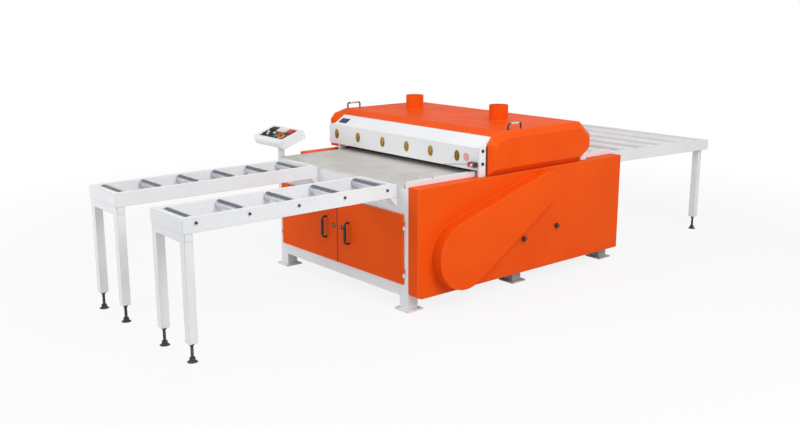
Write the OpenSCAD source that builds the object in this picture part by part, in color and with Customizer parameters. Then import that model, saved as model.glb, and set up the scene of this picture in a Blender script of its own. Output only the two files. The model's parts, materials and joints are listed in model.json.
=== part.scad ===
// Multi rip saw: a roller-fed gang saw for timber, with guarded belt drive, lifting press head and
// hinged hood.

/* [Base frame] */
// Width of the base frame over its posts
base_w = 1440; // [1400:10:1560]
// Length of the base frame along the feed
base_len = 1990; // [1940:10:2160]
// Width of the square posts and lower rails
post_w = 80; // [70:1:90]
// Wall of the square tubes
tube_wall = 5; // [3:0.5:8]
// Width of the foot plates
foot_w = 130; // [126:1:160]
// Thickness of the foot plates
foot_t = 10; // [6:1:20]
// Diameter of the anchor holes
anchor_d = 12; // [8:1:14]
// Spacing of the anchor holes in a foot plate
anchor_pitch = 104; // [104:1:108]
// Height of the lower rails above the floor
rail_z = 90; // [60:1:120]
// Height of the lower edge of the front and rear beams
beam_z = 620; // [600:1:640]
// Thickness of the side plates that carry the shafts
side_plate_t = 20; // [12:1:24]

/* [Work table] */
// Height of the table top above the floor
work_z = 803; // [790:1:830]
// Thickness of the table plate
table_t = 18; // [12:1:20]
// Width of the edge guide beside the table
guide_w = 40; // [30:1:50]
// Height of the edge guide above the table
guide_h = 24; // [16:1:28]
// Width of the blade slots
slot_w = 10; // [8:0.5:16]

/* [Covers] */
// Depth of the right side cover
cover_d = 89; // [80:1:110]
// Depth of the belt guard
guard_d = 89; // [86:1:110]
// Depth of the left side cover
left_cover_d = 243; // [200:1:250]
// Thickness of the cover sheets
sheet_t = 3; // [2:0.5:4]
// Height of the lower edge of the side covers
cover_z = 95; // [85:1:120]
// Corner radius of the right side cover
cover_r = 40; // [15:1:60]
// Radius of the belt guard round the motor pulley
guard_front_r = 220; // [205:1:235]
// Radius of the belt guard round the arbor pulley
guard_rear_r = 105; // [100:1:110]

/* [Saw arbor] */
// Distance from the middle posts back to the saw arbor
arbor_back = 76; // [72:1:90]
// Depth of the saw arbor below the table top
arbor_drop = 117; // [112:1:125]
// Diameter of the saw blades
blade_d = 350; // [320:2:360]
// Thickness of the saw blades
blade_t = 3.2; // [2.4:0.2:5]
// Number of saw blades
blade_count = 9; // [5:2:9]
// Distance from the side of the base to the outermost blade
blade_margin = 220; // [200:1:400]
// Number of teeth on a blade
tooth_count = 24; // [16:4:30]
// Diameter of the saw arbor
arbor_d = 70; // [60:1:76]
// Diameter of the spacing collars
collar_d = 120; // [100:1:130]
// Diameter of the arbor pulley
arbor_pulley_d = 150; // [130:1:160]

/* [Motor and belts] */
// Distance from the machine front to the motor shaft
motor_y = 335; // [325:1:345]
// Height of the motor shaft above the floor
motor_z = 340; // [335:1:345]
// Diameter of the motor housing without its fins
motor_d = 250; // [220:1:260]
// Diameter of the motor shaft
motor_shaft_d = 48; // [38:1:50]
// Diameter of the motor pulley
motor_pulley_d = 330; // [280:1:360]
// Number of belts
belt_count = 4; // [2:1:4]
// Width of a belt
belt_w = 12; // [8:0.5:12]
// Thickness of a belt
belt_t = 9; // [6:0.5:10]
// Spacing of the belts
belt_pitch = 16; // [15.5:0.1:16.5]

/* [Feed and press rollers] */
// Distance from the middle posts forward to the front feed roller
feed_front_gap = 165; // [155:1:175]
// Distance from the middle posts back to the rear feed roller
feed_rear_gap = 455; // [445:1:459]
// Diameter of the feed and press rollers
feed_d = 100; // [90:1:104]
// Distance from the side of the base to the end of a feed or press roller
feed_margin = 120; // [110:1:170]
// Diameter of the feed and press roller shafts
feed_shaft_d = 32; // [25:1:36]
// Height of the feed rollers above the table top
feed_proud = 1; // [0.5:0.1:2]
// Least height of work under the press rollers
throat_h = 30; // [20:1:34]
// Number of flutes on a roller
flute_count = 20; // [12:1:24]

/* [Press head] */
// Distance from the front press roller forward to the press beam's face
head_fore = 225; // [220:1:230]
// Depth of the press beam
head_d = 60; // [50:1:60]
// Height of the press beam face
head_h = 147; // [130:1:160]
// Height of the press beam above the table top
head_gap = 35; // [32:1:40]
// Overhang of the press beam past the base on the left
head_over = 153; // [100:1:160]
// Run of the sloped beam cap
cap_run = 105; // [100:1:110]
// Rise of the sloped beam cap
cap_rise = 66; // [60:1:72]
// Thickness of the head plates and arms
head_t = 15; // [10:1:18]
// Number of anti-kickback fingers
finger_count = 40; // [20:1:44]

/* [Hood] */
// Overhang of the hood past the base on the left
hood_over = 262.5; // [255:0.5:290]
// Gap between the press beam and the front of the hood
hood_gap = 7; // [5:0.5:11]
// Distance from the rear press roller back to the rear of the hood
hood_back = 177; // [172:1:200]
// Height of the hood top above the table top
hood_h = 277; // [270:1:300]
// Width of the chamfer round the hood sides
hood_chamfer = 35; // [20:1:40]
// Outer diameter of the dust ports
port_d = 136; // [100:1:160]
// Height of the dust ports above the hood top
port_h = 112; // [90:1:160]
// Spacing of the dust ports
port_pitch = 905; // [700:1:1000]

/* [Infeed tables] */
// Length of the infeed tables
infeed_len = 1460; // [1200:10:1600]
// Width of an infeed table
infeed_w = 380; // [300:2:420]
// Distance of each infeed table's middle from the centre line
infeed_x = 423; // [380:1:460]
// Width of the table rails
rail_w = 50; // [40:1:60]
// Height of the table rails
rail_h = 80; // [70:1:90]
// Diameter of the table rollers
roller_d = 60; // [50:1:64]
// Diameter of the table roller axles
axle_d = 20; // [12:1:24]
// Width of the table legs
leg_w = 50; // [40:1:50]

/* [Outfeed table] */
// Length of the outfeed table
outfeed_len = 1350; // [1200:10:1600]
// Width of the outfeed table
outfeed_w = 1411; // [1300:1:1440]
// Fall of the outfeed table over its length
outfeed_fall = 32; // [0:1:40]

/* [Control console] */
// Width of the control console
console_w = 385; // [320:1:390]
// Depth of the control console
console_d = 220; // [200:1:240]
// Thickness of the control console
console_t = 62; // [58:1:90]
// Tilt of the control console, in degrees
console_tilt = 20; // [5:0.5:25]
// Height of the console's lower front edge
console_z = 877; // [860:1:900]
// Diameter of the console post
console_post_d = 48; // [40:1:54]

/* [Doors] */
// Thickness of the doors
door_t = 12; // [10:0.5:16]
// Gap between the two doors
door_gap = 3; // [2:0.5:6]
// Length of the door handles
handle_len = 143; // [120:1:160]
// Reach of the door handles
handle_reach = 36; // [30:1:50]
// Thickness of the door handles
handle_d = 14; // [10:1:16]

/* [Hidden] */
$fn = 48;

// Overrun of every cut
cut = 1;
// Running clearance of shafts and pins, on the radius
run_gap = 0.05;
// Clearance between faces that slide or swing past each other
move_gap = 0.3;

// Places of the machine in the shared frame: the base centre line and the machine front
mid_x = (hood_over - cover_d - guard_d) / 2;
front_y = (infeed_len - base_len - outfeed_len) / 2;
hw = base_w / 2;
frame_z = work_z - table_t;
arbor_z = work_z - arbor_drop;
rail_top = rail_z + post_w;
bay_len = (base_len - 3 * post_w) / 2;
bay_ys = [post_w, base_len / 2 + post_w / 2];
mid_front = base_len / 2 - post_w / 2;
mid_rear = base_len / 2 + post_w / 2;
feed_front_y = mid_front - feed_front_gap;
feed_rear_y = mid_rear + feed_rear_gap;
feed_len = base_w - 2 * feed_margin;
arbor_y = mid_rear + arbor_back;
blade_pitch = (base_w - 2 * blade_margin) / (blade_count - 1);
head_y = feed_front_y - head_fore;
hood_y = head_y + head_d + hood_gap;
hood_rear_y = feed_rear_y + hood_back;

// Side plates
side_plate_h = 259;
side_plate_z = frame_z - side_plate_h;
plate_hole_gap = 4;
arbor_hole_d = arbor_d + 2 * plate_hole_gap;

// Feed rollers, level with the table
feed_z = work_z + feed_proud - feed_d / 2;
press_z = work_z + throat_h + feed_d / 2;
feed_ys = [feed_front_y, feed_rear_y];
feed_gap = 5;
flute_d = 6;

// Side covers
cover_drop = 6;
cover_top = work_z - cover_drop;
cover_rear = 8;
cover_len = base_len + cover_rear;
left_cover_drop = 26;
left_cover_top = work_z - left_cover_drop;
left_cover_y = 350;

// Press head: plates that slide in guides outside the side plates
guide_base_t = 27;
head_x = hw + guide_base_t + move_gap;
guide_cheek = 14;
guide_lip = 12;
guide_lip_t = 10;
guide_top_drop = 83;
guide_len = 180;
guide_floor_t = 12;
guide_z = work_z - guide_top_drop - guide_len;
head_z = work_z + head_gap;
head_top = head_z + head_h;
cap_slope = cap_rise / cap_run;
head_rear_in = 77;
head_rear_y = hood_rear_y - head_rear_in;
rear_beam_lift = 77;
rear_beam_z = work_z + rear_beam_lift;
rear_beam_h = 80;
head_ys = [head_y, head_rear_y];
head_wall = 5;
arm_in = 30;
arm_x = hw - arm_in;
arm_h = 100;
arm_lift = 20;
arm_z = head_z + arm_lift;
finger_back = 30;
finger_y = head_y + head_d + finger_back;
finger_lift = 67;
finger_z = head_z + finger_lift;
finger_shaft_d = 20;

// Hood
hood_in = 1.25;
hood_hang = 3;
hood_z = work_z - hood_hang;
hood_top = work_z + hood_h;
hood_front_h = 208;
hood_fold_back = 146;
hood_fold_y = hood_y + hood_fold_back;
hood_rear_fold = 122;
hood_rear_drop = 101;
hood_rear_h = 99;
hood_rear_foot = 80;
hood_edge = 40;
hood_left = -hw - hood_over;
hood_right = hw + cover_d - hood_in;
hood_hinge_d = 18;
hood_pin_d = 10;
hood_hinge_out = 6;
hood_hinge_y = hood_rear_y + hood_hinge_out;
rear_lip = hood_top - hood_rear_drop - hood_rear_h;
hood_hinge_drop = 8;
hood_hinge_z = rear_lip - hood_hinge_drop;
hood_in_left = hood_left + hood_chamfer + sheet_t;
hood_in_right = hood_right - hood_chamfer - sheet_t;
hood_mid = (hood_left + hood_right) / 2;
port_y = (hood_y + hood_rear_y) / 2;
port_xs = [hood_mid - port_pitch / 2, hood_mid + port_pitch / 2];
port_t = 3;
port_foot_h = 6;
port_foot_t = 5;

// Infeed and outfeed tables
rail_drop = 3;
table_rail_top = work_z - rail_drop;
rail_bottom = table_rail_top - rail_h;
roller_proud = 0;
roller_z = work_z + roller_proud - roller_d / 2;
end_w = 40;
rail_wall = 4;
leg_bar_h = 50;
roller_side_gap = 2;
roller_first = 78;
left_roller_last = 107;
right_roller_last = 79;
out_roller_first = 125;
out_roller_last = 177;
left_roller_count = 6;
right_roller_count = 5;
out_roller_count = 5;
foot_pad_d = 60;
foot_pad_h = 12;
foot_stem_d = 16;
foot_nut_d = 30;
foot_nut_h = 13;
foot_h = 108;
leg_y = -infeed_len + foot_pad_d / 2;
out_leg_in = 35;

// Doors
door_seat = 1.5;
door_sheet = 2;
door_edge = hw - post_w / 2;
hinge_d = 12;
hinge_pin_d = 6;
hinge_h = 26;
hinge_x = door_edge + hinge_d / 2;
hinge_y = -door_seat - door_t / 2;
hinge_leaf_t = 1.2;
hinge_inset = 72;
door_z0 = rail_top;
door_z1 = beam_z;
hinge_zs = [door_z0 + hinge_inset, door_z1 - hinge_inset];
handle_x = 128;
handle_z = 397;
handle_bend = 18;
lock_x = 43;
lock_z = 420;
lock_d = 24;
lock_stem_d = 18;
lock_head_t = 4;
cam_t = 4;
cam_w = 14;
cam_len = 40;

// Console
console_out = 34.5;
console_x = -hw - console_out;
console_y = -65;
console_nose_r = 24;
console_corner_r = 34;
console_post_y = 41;
console_foot_z = 420;
stop_x = 97;
start_x = 30;
button_y = 71;
stop_stem_d = 22;
stop_head_d = 40;
stop_head_h = 14;
stop_rise = 12;
stop_depth = 20;
stop_travel = 6;
start_d = 22;
start_rise = 8;
start_travel = 4;

// Motor and belts
motor_len = 460;
motor_in = 30;
motor_right = hw - motor_in;
motor_left = motor_right - motor_len;
pulley_edge = 4;
pulley_w = belt_count * belt_pitch + 2 * pulley_edge;
pulley_gap = 6;
pulley_x = hw + cover_d + pulley_gap;
groove_gap = 0.4;
groove_root = 0.6;
groove_h = belt_t + groove_gap + groove_root;
groove_w = belt_w + 2 * groove_gap;

function motor_belt_r() = motor_pulley_d / 2 - groove_h + groove_gap;
function arbor_belt_r() = arbor_pulley_d / 2 - groove_h + groove_gap;
function blade_x(i) = (i - (blade_count - 1) / 2) * blade_pitch;
function out_top(y) = table_rail_top - outfeed_fall * (y - base_len) / outfeed_len;
function spread(first, last, count, i) = first + (last - first) * i / (count - 1);
function left_roller_y(i) = spread(-infeed_len + roller_first, -left_roller_last, left_roller_count, i);
function right_roller_y(i) = spread(-infeed_len + roller_first, -right_roller_last, right_roller_count, i);
function out_roller_y(i) = spread(base_len + out_roller_first, base_len + outfeed_len - out_roller_last,
    out_roller_count, i);
function out_roller_z(i) = out_top(out_roller_y(i)) + rail_drop - roller_d / 2;

// Machine frame: x from the base centre line, y from the machine front
module place() translate([mid_x, front_y, 0]) children();

module block(lo, hi) translate(lo) cube(hi - lo);

// Tube open at both ends along one axis: 0 is x, 1 is y, 2 is z
module tube(lo, size, axis, wall) difference() {
    translate(lo) cube(size);
    translate([for (i = [0:2]) lo[i] + (i == axis ? -cut : wall)])
        cube([for (i = [0:2]) size[i] + (i == axis ? 2 * cut : -2 * wall)]);
}

// Prism along x of an outline drawn in y and z
module prism_x(x0, x1) translate([x0, 0, 0]) rotate([90, 0, 90]) linear_extrude(x1 - x0) children();

module rod_x(x0, x1, y, z, d) translate([x0, y, z]) rotate([0, 90, 0]) cylinder(d = d, h = x1 - x0);

module rod_z(x, y, z0, z1, d) translate([x, y, z0]) cylinder(d = d, h = z1 - z0);

module both_sides() for (side = [0, 1]) mirror([side, 0, 0]) children();

// Outline with rounded corners
module round2d(lo, size, r) {
    translate(lo + [r, 0]) square(size - [2 * r, 0]);
    translate(lo + [0, r]) square(size - [0, 2 * r]);
    for (i = [0, 1], j = [0, 1]) translate(lo + [i ? size[0] - r : r, j ? size[1] - r : r]) circle(r);
}

module slot2d(length, width) {
    square([width, length - width], center = true);
    for (side = [-1, 1]) translate([0, side * (length - width) / 2]) circle(d = width);
}

// Outline round the motor pulley and the arbor pulley, with straight runs between
module loop2d(r1, r2) {
    c1 = [motor_y, motor_z];
    c2 = [arbor_y, arbor_z];
    span = norm(c2 - c1);
    lean = atan2(c2[1] - c1[1], c2[0] - c1[0]);
    wrap = acos((r1 - r2) / span);
    up = [cos(lean + wrap), sin(lean + wrap)];
    down = [cos(lean - wrap), sin(lean - wrap)];
    translate(c1) circle(r1);
    translate(c2) circle(r2);
    polygon([c1 + r1 * up, c1 + r1 * down, c2 + r2 * down, c2 + r2 * up]);
}

// Bow handle that stands on x = 0 with its length along y
module bow(length, reach, d, bend) {
    for (side = [0, 1]) mirror([0, side, 0]) {
        translate([0, length / 2, 0]) rotate([0, 90, 0]) cylinder(d = d, h = reach - bend);
        translate([reach - bend, length / 2 - bend, 0]) rotate_extrude(angle = 90) translate([bend, 0])
            circle(d = d);
        translate([reach, 0, 0]) rotate([-90, 0, 0]) cylinder(d = d, h = length / 2 - bend);
    }
}

module post(x, y) translate([x, y, 0]) {
    tube([-post_w / 2, -post_w / 2, foot_t], [post_w, post_w, frame_z - foot_t], 2, tube_wall);
    difference() {
        block([-foot_w / 2, -foot_w / 2, 0], [foot_w / 2, foot_w / 2, foot_t]);
        for (i = [-1, 1], j = [-1, 1])
            rod_z(i * anchor_pitch / 2, j * anchor_pitch / 2, -cut, foot_t + cut, anchor_d);
    }
}

module base_legs() color("whitesmoke") place() {
    for (x = [-hw + post_w / 2, hw - post_w / 2], y = [post_w / 2, base_len / 2, base_len - post_w / 2])
        post(x, y);
}

bearer_w = 60;
motor_foot_in = 90;
motor_foot_xs = [motor_left + motor_foot_in + bearer_w, motor_right - motor_foot_in];
bracket_w = 60;
bracket_t = 8;
bracket_d = 55;
bracket_h = 60;
// Gap of a weld between members that meet end on
weld_gap = 0.4;

module base_rails() color("white") place() {
    span = base_w - 2 * post_w;
    for (y = [0, base_len / 2 - post_w / 2, base_len - post_w])
        tube([-span / 2, y, rail_z], [span, post_w, post_w], 0, tube_wall);
    for (y = [0, base_len - post_w]) tube([-span / 2, y, beam_z], [span, post_w, frame_z - beam_z], 0,
        tube_wall);
    both_sides() for (y = bay_ys) {
        tube([hw - post_w, y, rail_z], [post_w, bay_len, post_w], 1, tube_wall);
        difference() {
            block([hw - side_plate_t, y, side_plate_z], [hw, y + bay_len, frame_z]);
            rod_x(hw - side_plate_t - cut, hw + cut, arbor_y, arbor_z, arbor_hole_d);
            for (fy = feed_ys) rod_x(hw - side_plate_t - cut, hw + cut, fy, feed_z,
                feed_shaft_d + plate_hole_gap);
        }
    }
    for (x = motor_foot_xs) tube([x - bearer_w / 2, post_w + weld_gap, rail_z],
        [bearer_w, bay_len - 2 * weld_gap, post_w], 1, tube_wall);
    // Angle brackets under the machine ends of the tables
    for (side = [-1, 1], end = [-1, 1]) prism_x(side * infeed_x + end * (infeed_w - rail_w)
        / 2 - bracket_w / 2,
        side * infeed_x + end * (infeed_w - rail_w) / 2 + bracket_w / 2)
        polygon([[-weld_gap, rail_bottom], [-bracket_d, rail_bottom], [-bracket_d, rail_bottom - bracket_t],
            [-bracket_t, rail_bottom - bracket_h], [-weld_gap, rail_bottom - bracket_h]]);
    out_y0 = base_len + weld_gap;
    out_y1 = base_len + bracket_d;
    both_sides() prism_x(outfeed_w / 2 - bracket_w, outfeed_w / 2)
        polygon([[out_y0, out_top(out_y0) - rail_h], [out_y1, out_top(out_y1) - rail_h],
            [out_y1, out_top(out_y1) - rail_h - bracket_t], [base_len + bracket_t, rail_bottom - bracket_h],
            [out_y0, rail_bottom - bracket_h]]);
}

table_chamfer = 4;
screw_d = 9;
screw_head_d = 17;
screw_head_h = 5;
screw_x_share = 0.755;
screw_y_shares = [0.11, 0.27, 0.70, 0.89];

module work_table() color("silver") place() difference() {
    prism_x(-hw, hw - guide_w) polygon([[0, frame_z], [0, work_z - table_chamfer], [table_chamfer, work_z],
        [base_len, work_z], [base_len, frame_z]]);
    slot_l = 2 * (sqrt(pow(blade_d / 2, 2) - pow(arbor_drop - table_t, 2)) + slot_w);
    for (i = [0:blade_count - 1]) translate([blade_x(i), arbor_y, frame_z - cut])
        linear_extrude(table_t + 2 * cut) slot2d(slot_l, slot_w);
    half = sqrt(pow(feed_d / 2, 2) - pow(frame_z - feed_z, 2)) + feed_gap;
    for (y = feed_ys) block([-feed_len / 2 - feed_gap, y - half, frame_z - cut],
        [feed_len / 2 + feed_gap, y + half, work_z + cut]);
    for (side = [-1, 1], share = screw_y_shares) translate([side * hw * screw_x_share, base_len * share,
        0]) {
        rod_z(0, 0, frame_z - cut, work_z + cut, screw_d);
        translate([0, 0, work_z - screw_head_h])
            cylinder(d1 = screw_d, d2 = screw_head_d, h = screw_head_h);
    }
}

guide_lead = 10;
guide_lead_l = 60;

module side_guide() color("white") place() difference() {
    translate([0, 0, frame_z]) linear_extrude(table_t + guide_h)
        polygon([[hw - guide_w + guide_lead, 0], [hw, 0], [hw, base_len], [hw - guide_w, base_len],
            [hw - guide_w, guide_lead_l]]);
    for (share = screw_y_shares) rod_z(hw - guide_w / 2, base_len * share, frame_z - cut,
        work_z + guide_h + cut, screw_d);
}

module cover2d(inset) {
    r = cover_r - inset;
    lo = [inset, cover_z + inset];
    size = [cover_len - 2 * inset, cover_top - cover_z - 2 * inset];
    translate(lo + [r, 0]) square(size - [r, 0]);
    translate(lo + [0, r]) square(size - [0, r]);
    translate(lo + [r, r]) circle(r);
}

shaft_hole_d = 120;
plate_slot_gap = 4;

module right_cover() color("orangered") place() difference() {
    prism_x(hw, hw + cover_d) cover2d(0);
    prism_x(hw - cut, hw + cover_d - sheet_t) cover2d(sheet_t);
    for (axis = [[motor_y, motor_z], [arbor_y, arbor_z]])
        rod_x(hw + cover_d - sheet_t - cut, hw + cover_d + cut, axis[0], axis[1], shaft_hole_d);
    for (y = head_ys) block([head_x - plate_slot_gap, y - plate_slot_gap, cover_top - sheet_t - cut],
        [head_x + head_t + plate_slot_gap, y + head_d + plate_slot_gap, cover_top + cut]);
}

module belt_guard() color("orangered") place() difference() {
    prism_x(hw + cover_d, hw + cover_d + guard_d) loop2d(guard_front_r, guard_rear_r);
    prism_x(hw + cover_d - cut, hw + cover_d + guard_d - sheet_t)
        loop2d(guard_front_r - sheet_t, guard_rear_r - sheet_t);
}

bay_edge = 12;

module left_cover() color("orangered") place() difference() {
    block([-hw - left_cover_d, left_cover_y, cover_z], [-hw, base_len, left_cover_top]);
    block([-hw - left_cover_d + sheet_t, left_cover_y + sheet_t, cover_z + sheet_t],
        [-hw + cut, base_len - sheet_t, left_cover_top - sheet_t]);
    for (y = head_ys) block([-head_x - head_t - plate_slot_gap, y - plate_slot_gap,
        left_cover_top - sheet_t - cut],
        [-head_x + plate_slot_gap, y + head_d + plate_slot_gap, left_cover_top + cut]);
    // Opening under the hood for the roller drives
    block([-hw - left_cover_d + hood_chamfer, head_y + head_d + bay_edge, left_cover_top - sheet_t - cut],
        [-hw + cut, head_rear_y - bay_edge, left_cover_top + cut]);
}

vent_w = 12;
vent_l = 160;
vent_pitch = 34;
vent_count = 7;
vent_x_share = 0.45;

module rear_panel() color("orangered") place() difference() {
    block([-door_edge, base_len, door_z0], [door_edge, base_len + sheet_t, door_z1]);
    for (side = [-1, 1], i = [0:vent_count - 1])
        translate([side * door_edge * vent_x_share, base_len + sheet_t + cut,
            (door_z0 + door_z1) / 2 + (i - (vent_count - 1) / 2) * vent_pitch])
        rotate([90, 90, 0]) linear_extrude(sheet_t + 2 * cut) slot2d(vent_l, vent_w);
}

module infeed_frame(mid) place() {
    for (side = [-1, 1]) translate([mid + side * (infeed_w - rail_w) / 2, 0, rail_bottom]) {
        tube([-rail_w / 2, -infeed_len, 0], [rail_w, infeed_len, rail_h], 1, rail_wall);
        block([-rail_w / 2, -infeed_len, 0], [rail_w / 2, -infeed_len + rail_wall, rail_h]);
    }
    for (y = [-infeed_len, -end_w]) tube([mid - infeed_w / 2 + rail_w - rail_wall / 2, y, rail_bottom],
        [infeed_w - 2 * rail_w + rail_wall, end_w, rail_h], 0, rail_wall);
}

module left_infeed_frame() color("white") infeed_frame(-infeed_x);
module right_infeed_frame() color("white") infeed_frame(infeed_x);

module infeed_legs() color("white") place() for (mid = [-infeed_x, infeed_x]) {
    tube([mid - infeed_w / 2, leg_y - leg_w / 2, rail_bottom - leg_bar_h], [infeed_w, leg_w, leg_bar_h],
        0, rail_wall);
    for (side = [-1, 1]) translate([mid + side * (infeed_w - leg_w) / 2, leg_y, 0]) {
        tube([-leg_w / 2, -leg_w / 2, foot_h], [leg_w, leg_w, rail_bottom - leg_bar_h - foot_h], 2,
            rail_wall);
        block([-leg_w / 2, -leg_w / 2, foot_h], [leg_w / 2, leg_w / 2, foot_h + rail_wall]);
    }
}

// Outline of a sloping member of the outfeed table, inset by its wall
module fall2d(y0, y1, inset, over) polygon([[y0 - over, out_top(y0 - over) - inset],
    [y1 + over, out_top(y1 + over) - inset], [y1 + over, out_top(y1 + over) - rail_h + inset],
    [y0 - over, out_top(y0 - over) - rail_h + inset]]);

module outfeed_frame() color("white") place() {
    y1 = base_len + outfeed_len;
    both_sides() difference() {
        prism_x(outfeed_w / 2 - rail_w, outfeed_w / 2) fall2d(base_len, y1, 0, 0);
        prism_x(outfeed_w / 2 - rail_w + rail_wall, outfeed_w / 2 - rail_wall)
            fall2d(base_len - rail_wall, y1 - rail_wall, rail_wall, 0);
    }
    for (y = [base_len, y1 - end_w]) difference() {
        prism_x(-outfeed_w / 2 + rail_w, outfeed_w / 2 - rail_w) fall2d(y, y + end_w, 0, 0);
        prism_x(-outfeed_w / 2 + rail_w - cut, outfeed_w / 2 - rail_w + cut)
            fall2d(y + rail_wall, y + end_w - rail_wall, rail_wall, 0);
    }
}

out_leg_y = base_len + outfeed_len - out_leg_in - leg_w / 2;
out_leg_x = outfeed_w / 2 - out_leg_in - leg_w / 2;

module outfeed_legs() color("white") place() both_sides() difference() {
    y0 = out_leg_y - leg_w / 2;
    y1 = out_leg_y + leg_w / 2;
    prism_x(out_leg_x - leg_w / 2, out_leg_x + leg_w / 2)
        polygon([[y0, foot_h], [y1, foot_h], [y1, out_top(y1) - rail_h], [y0, out_top(y0) - rail_h]]);
    block([out_leg_x - leg_w / 2 + rail_wall, y0 + rail_wall, foot_h + rail_wall],
        [out_leg_x + leg_w / 2 - rail_wall, y1 - rail_wall, table_rail_top]);
}

module levelling_foot() {
    cylinder(d1 = foot_pad_d, d2 = foot_nut_d, h = foot_pad_h);
    cylinder(d = foot_stem_d, h = foot_h);
    translate([0, 0, foot_h - foot_nut_h]) cylinder(d = foot_nut_d, h = foot_nut_h, $fn = 6);
}

module levelling_feet() color("dimgray") place() {
    for (mid = [-infeed_x, infeed_x], side = [-1, 1])
        translate([mid + side * (infeed_w - leg_w) / 2, leg_y, 0]) levelling_foot();
    for (side = [-1, 1]) translate([side * out_leg_x, out_leg_y, 0]) levelling_foot();
}

bolt_head_d = 18;
bolt_head_h = 8;

// Axle between two rails, with a bolt head on the rail's outer face at each named side
module axle(mid, width, y, z, heads) {
    rod_x(mid - width / 2 + rail_w, mid + width / 2 - rail_w, y, z, axle_d);
    for (side = heads) translate([mid + side * width / 2, 0, 0])
        rod_x(side < 0 ? -bolt_head_h : 0, side < 0 ? 0 : bolt_head_h, y, z, bolt_head_d, $fn = 6);
}

module roller_axles() color("slategray") place() {
    for (i = [0:left_roller_count - 1]) axle(-infeed_x, infeed_w, left_roller_y(i), roller_z, [-1]);
    for (i = [0:right_roller_count - 1]) axle(infeed_x, infeed_w, right_roller_y(i), roller_z, [1]);
    for (i = [0:out_roller_count - 1]) axle(0, outfeed_w, out_roller_y(i), out_roller_z(i), []);
}

roller_chamfer = 2;
roller_cup_w = 8;
roller_cup_h = 6;

// Table roller: a turned body with cupped ends that runs on its axle
module roller(mid, width, y, z) {
    half = width / 2 - rail_w - roller_side_gap;
    bore = axle_d / 2 + run_gap;
    r = roller_d / 2;
    place() translate([mid, y, z]) rotate([0, 90, 0]) rotate_extrude() polygon([[bore, -half],
        [bore + roller_cup_w / 2, -half], [bore + roller_cup_w / 2, -half + roller_cup_h],
        [r - roller_cup_w / 2, -half + roller_cup_h], [r - roller_cup_w / 2, -half],
        [r - roller_chamfer, -half], [r, -half + roller_chamfer], [r, half - roller_chamfer],
        [r - roller_chamfer, half], [r - roller_cup_w / 2, half], [r - roller_cup_w / 2,
            half - roller_cup_h],
        [bore + roller_cup_w / 2, half - roller_cup_h], [bore + roller_cup_w / 2, half], [bore, half]]);
}

module left_infeed_roller(i) color("silver") roller(-infeed_x, infeed_w, left_roller_y(i), roller_z);
module right_infeed_roller(i) color("silver") roller(infeed_x, infeed_w, right_roller_y(i), roller_z);
module outfeed_roller(i) color("gainsboro") roller(0, outfeed_w, out_roller_y(i), out_roller_z(i));
module left_infeed_roller_1() left_infeed_roller(0);
module left_infeed_roller_2() left_infeed_roller(1);
module left_infeed_roller_3() left_infeed_roller(2);
module left_infeed_roller_4() left_infeed_roller(3);
module left_infeed_roller_5() left_infeed_roller(4);
module left_infeed_roller_6() left_infeed_roller(5);
module right_infeed_roller_1() right_infeed_roller(0);
module right_infeed_roller_2() right_infeed_roller(1);
module right_infeed_roller_3() right_infeed_roller(2);
module right_infeed_roller_4() right_infeed_roller(3);
module right_infeed_roller_5() right_infeed_roller(4);
module outfeed_roller_1() outfeed_roller(0);
module outfeed_roller_2() outfeed_roller(1);
module outfeed_roller_3() outfeed_roller(2);
module outfeed_roller_4() outfeed_roller(3);
module outfeed_roller_5() outfeed_roller(4);

// Fixed half of each door hinge: a leaf on the post and the lower knuckle
module door_hinges() color("whitesmoke") place() both_sides() for (z = hinge_zs) difference() {
    union() {
        rod_z(hinge_x, hinge_y, z - hinge_h, z - move_gap, hinge_d);
        block([hinge_x, -hinge_leaf_t, z - hinge_h], [hinge_x + hinge_d, 0, z + hinge_h]);
        block([hinge_x, hinge_y, z - hinge_h], [hinge_x + hinge_d / 2, 0, z - move_gap]);
    }
    rod_z(hinge_x, hinge_y, z - hinge_h - cut, z + hinge_h, hinge_pin_d + 2 * run_gap);
}

post_clamp_h = 40;
post_clamp_w = 70;
post_plate_w = 120;
post_plate_t = 8;

module console_frame() translate([console_x, console_y, console_z]) rotate([console_tilt, 0, 0]) children();

// Round post on two clamps on the front leg, under a tilted plate
module console_post() color("white") place() {
    plate_y = (console_post_y - console_y) / cos(console_tilt);
    difference() {
        union() {
            rod_z(console_x, console_post_y, console_foot_z, console_z + console_d, console_post_d);
            for (z = [console_foot_z, frame_z - post_clamp_h])
                block([console_x, console_post_y - post_clamp_w / 2 + tube_wall, z],
                    [-hw, console_post_y + post_clamp_w / 2 - tube_wall, z + post_clamp_h]);
        }
        console_frame() block([-console_w, -console_d, -post_plate_t / 2], [console_w, 2 * console_d,
            2 * console_d]);
        rod_z(console_x, console_post_y, console_foot_z - cut, console_z - post_plate_t,
            console_post_d - 2 * tube_wall);
    }
    console_frame() block([-post_plate_w / 2, plate_y - post_plate_w / 2, -post_plate_t],
        [post_plate_w / 2, plate_y + post_plate_w / 2, 0]);
}

panel_w = 300;
panel_y = 40;
panel_h = 144;
panel_deep = 2;

module console_box() color("ghostwhite") place() console_frame() difference() {
    intersection() {
        prism_x(-console_w / 2, console_w / 2) round2d([0, 0], [console_d, console_t], console_nose_r);
        linear_extrude(console_t) round2d([-console_w / 2, 0], [console_w, console_d], console_corner_r);
    }
    block([-panel_w / 2, panel_y, console_t - panel_deep], [panel_w / 2, panel_y + panel_h,
        console_t + cut]);
    rod_z(stop_x, button_y, console_t - stop_depth - stop_travel - cut, console_t + cut,
        stop_stem_d + 2 * run_gap);
    rod_z(start_x, button_y, console_t - stop_depth - start_travel - cut, console_t + cut,
        start_d + 2 * run_gap);
}

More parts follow.
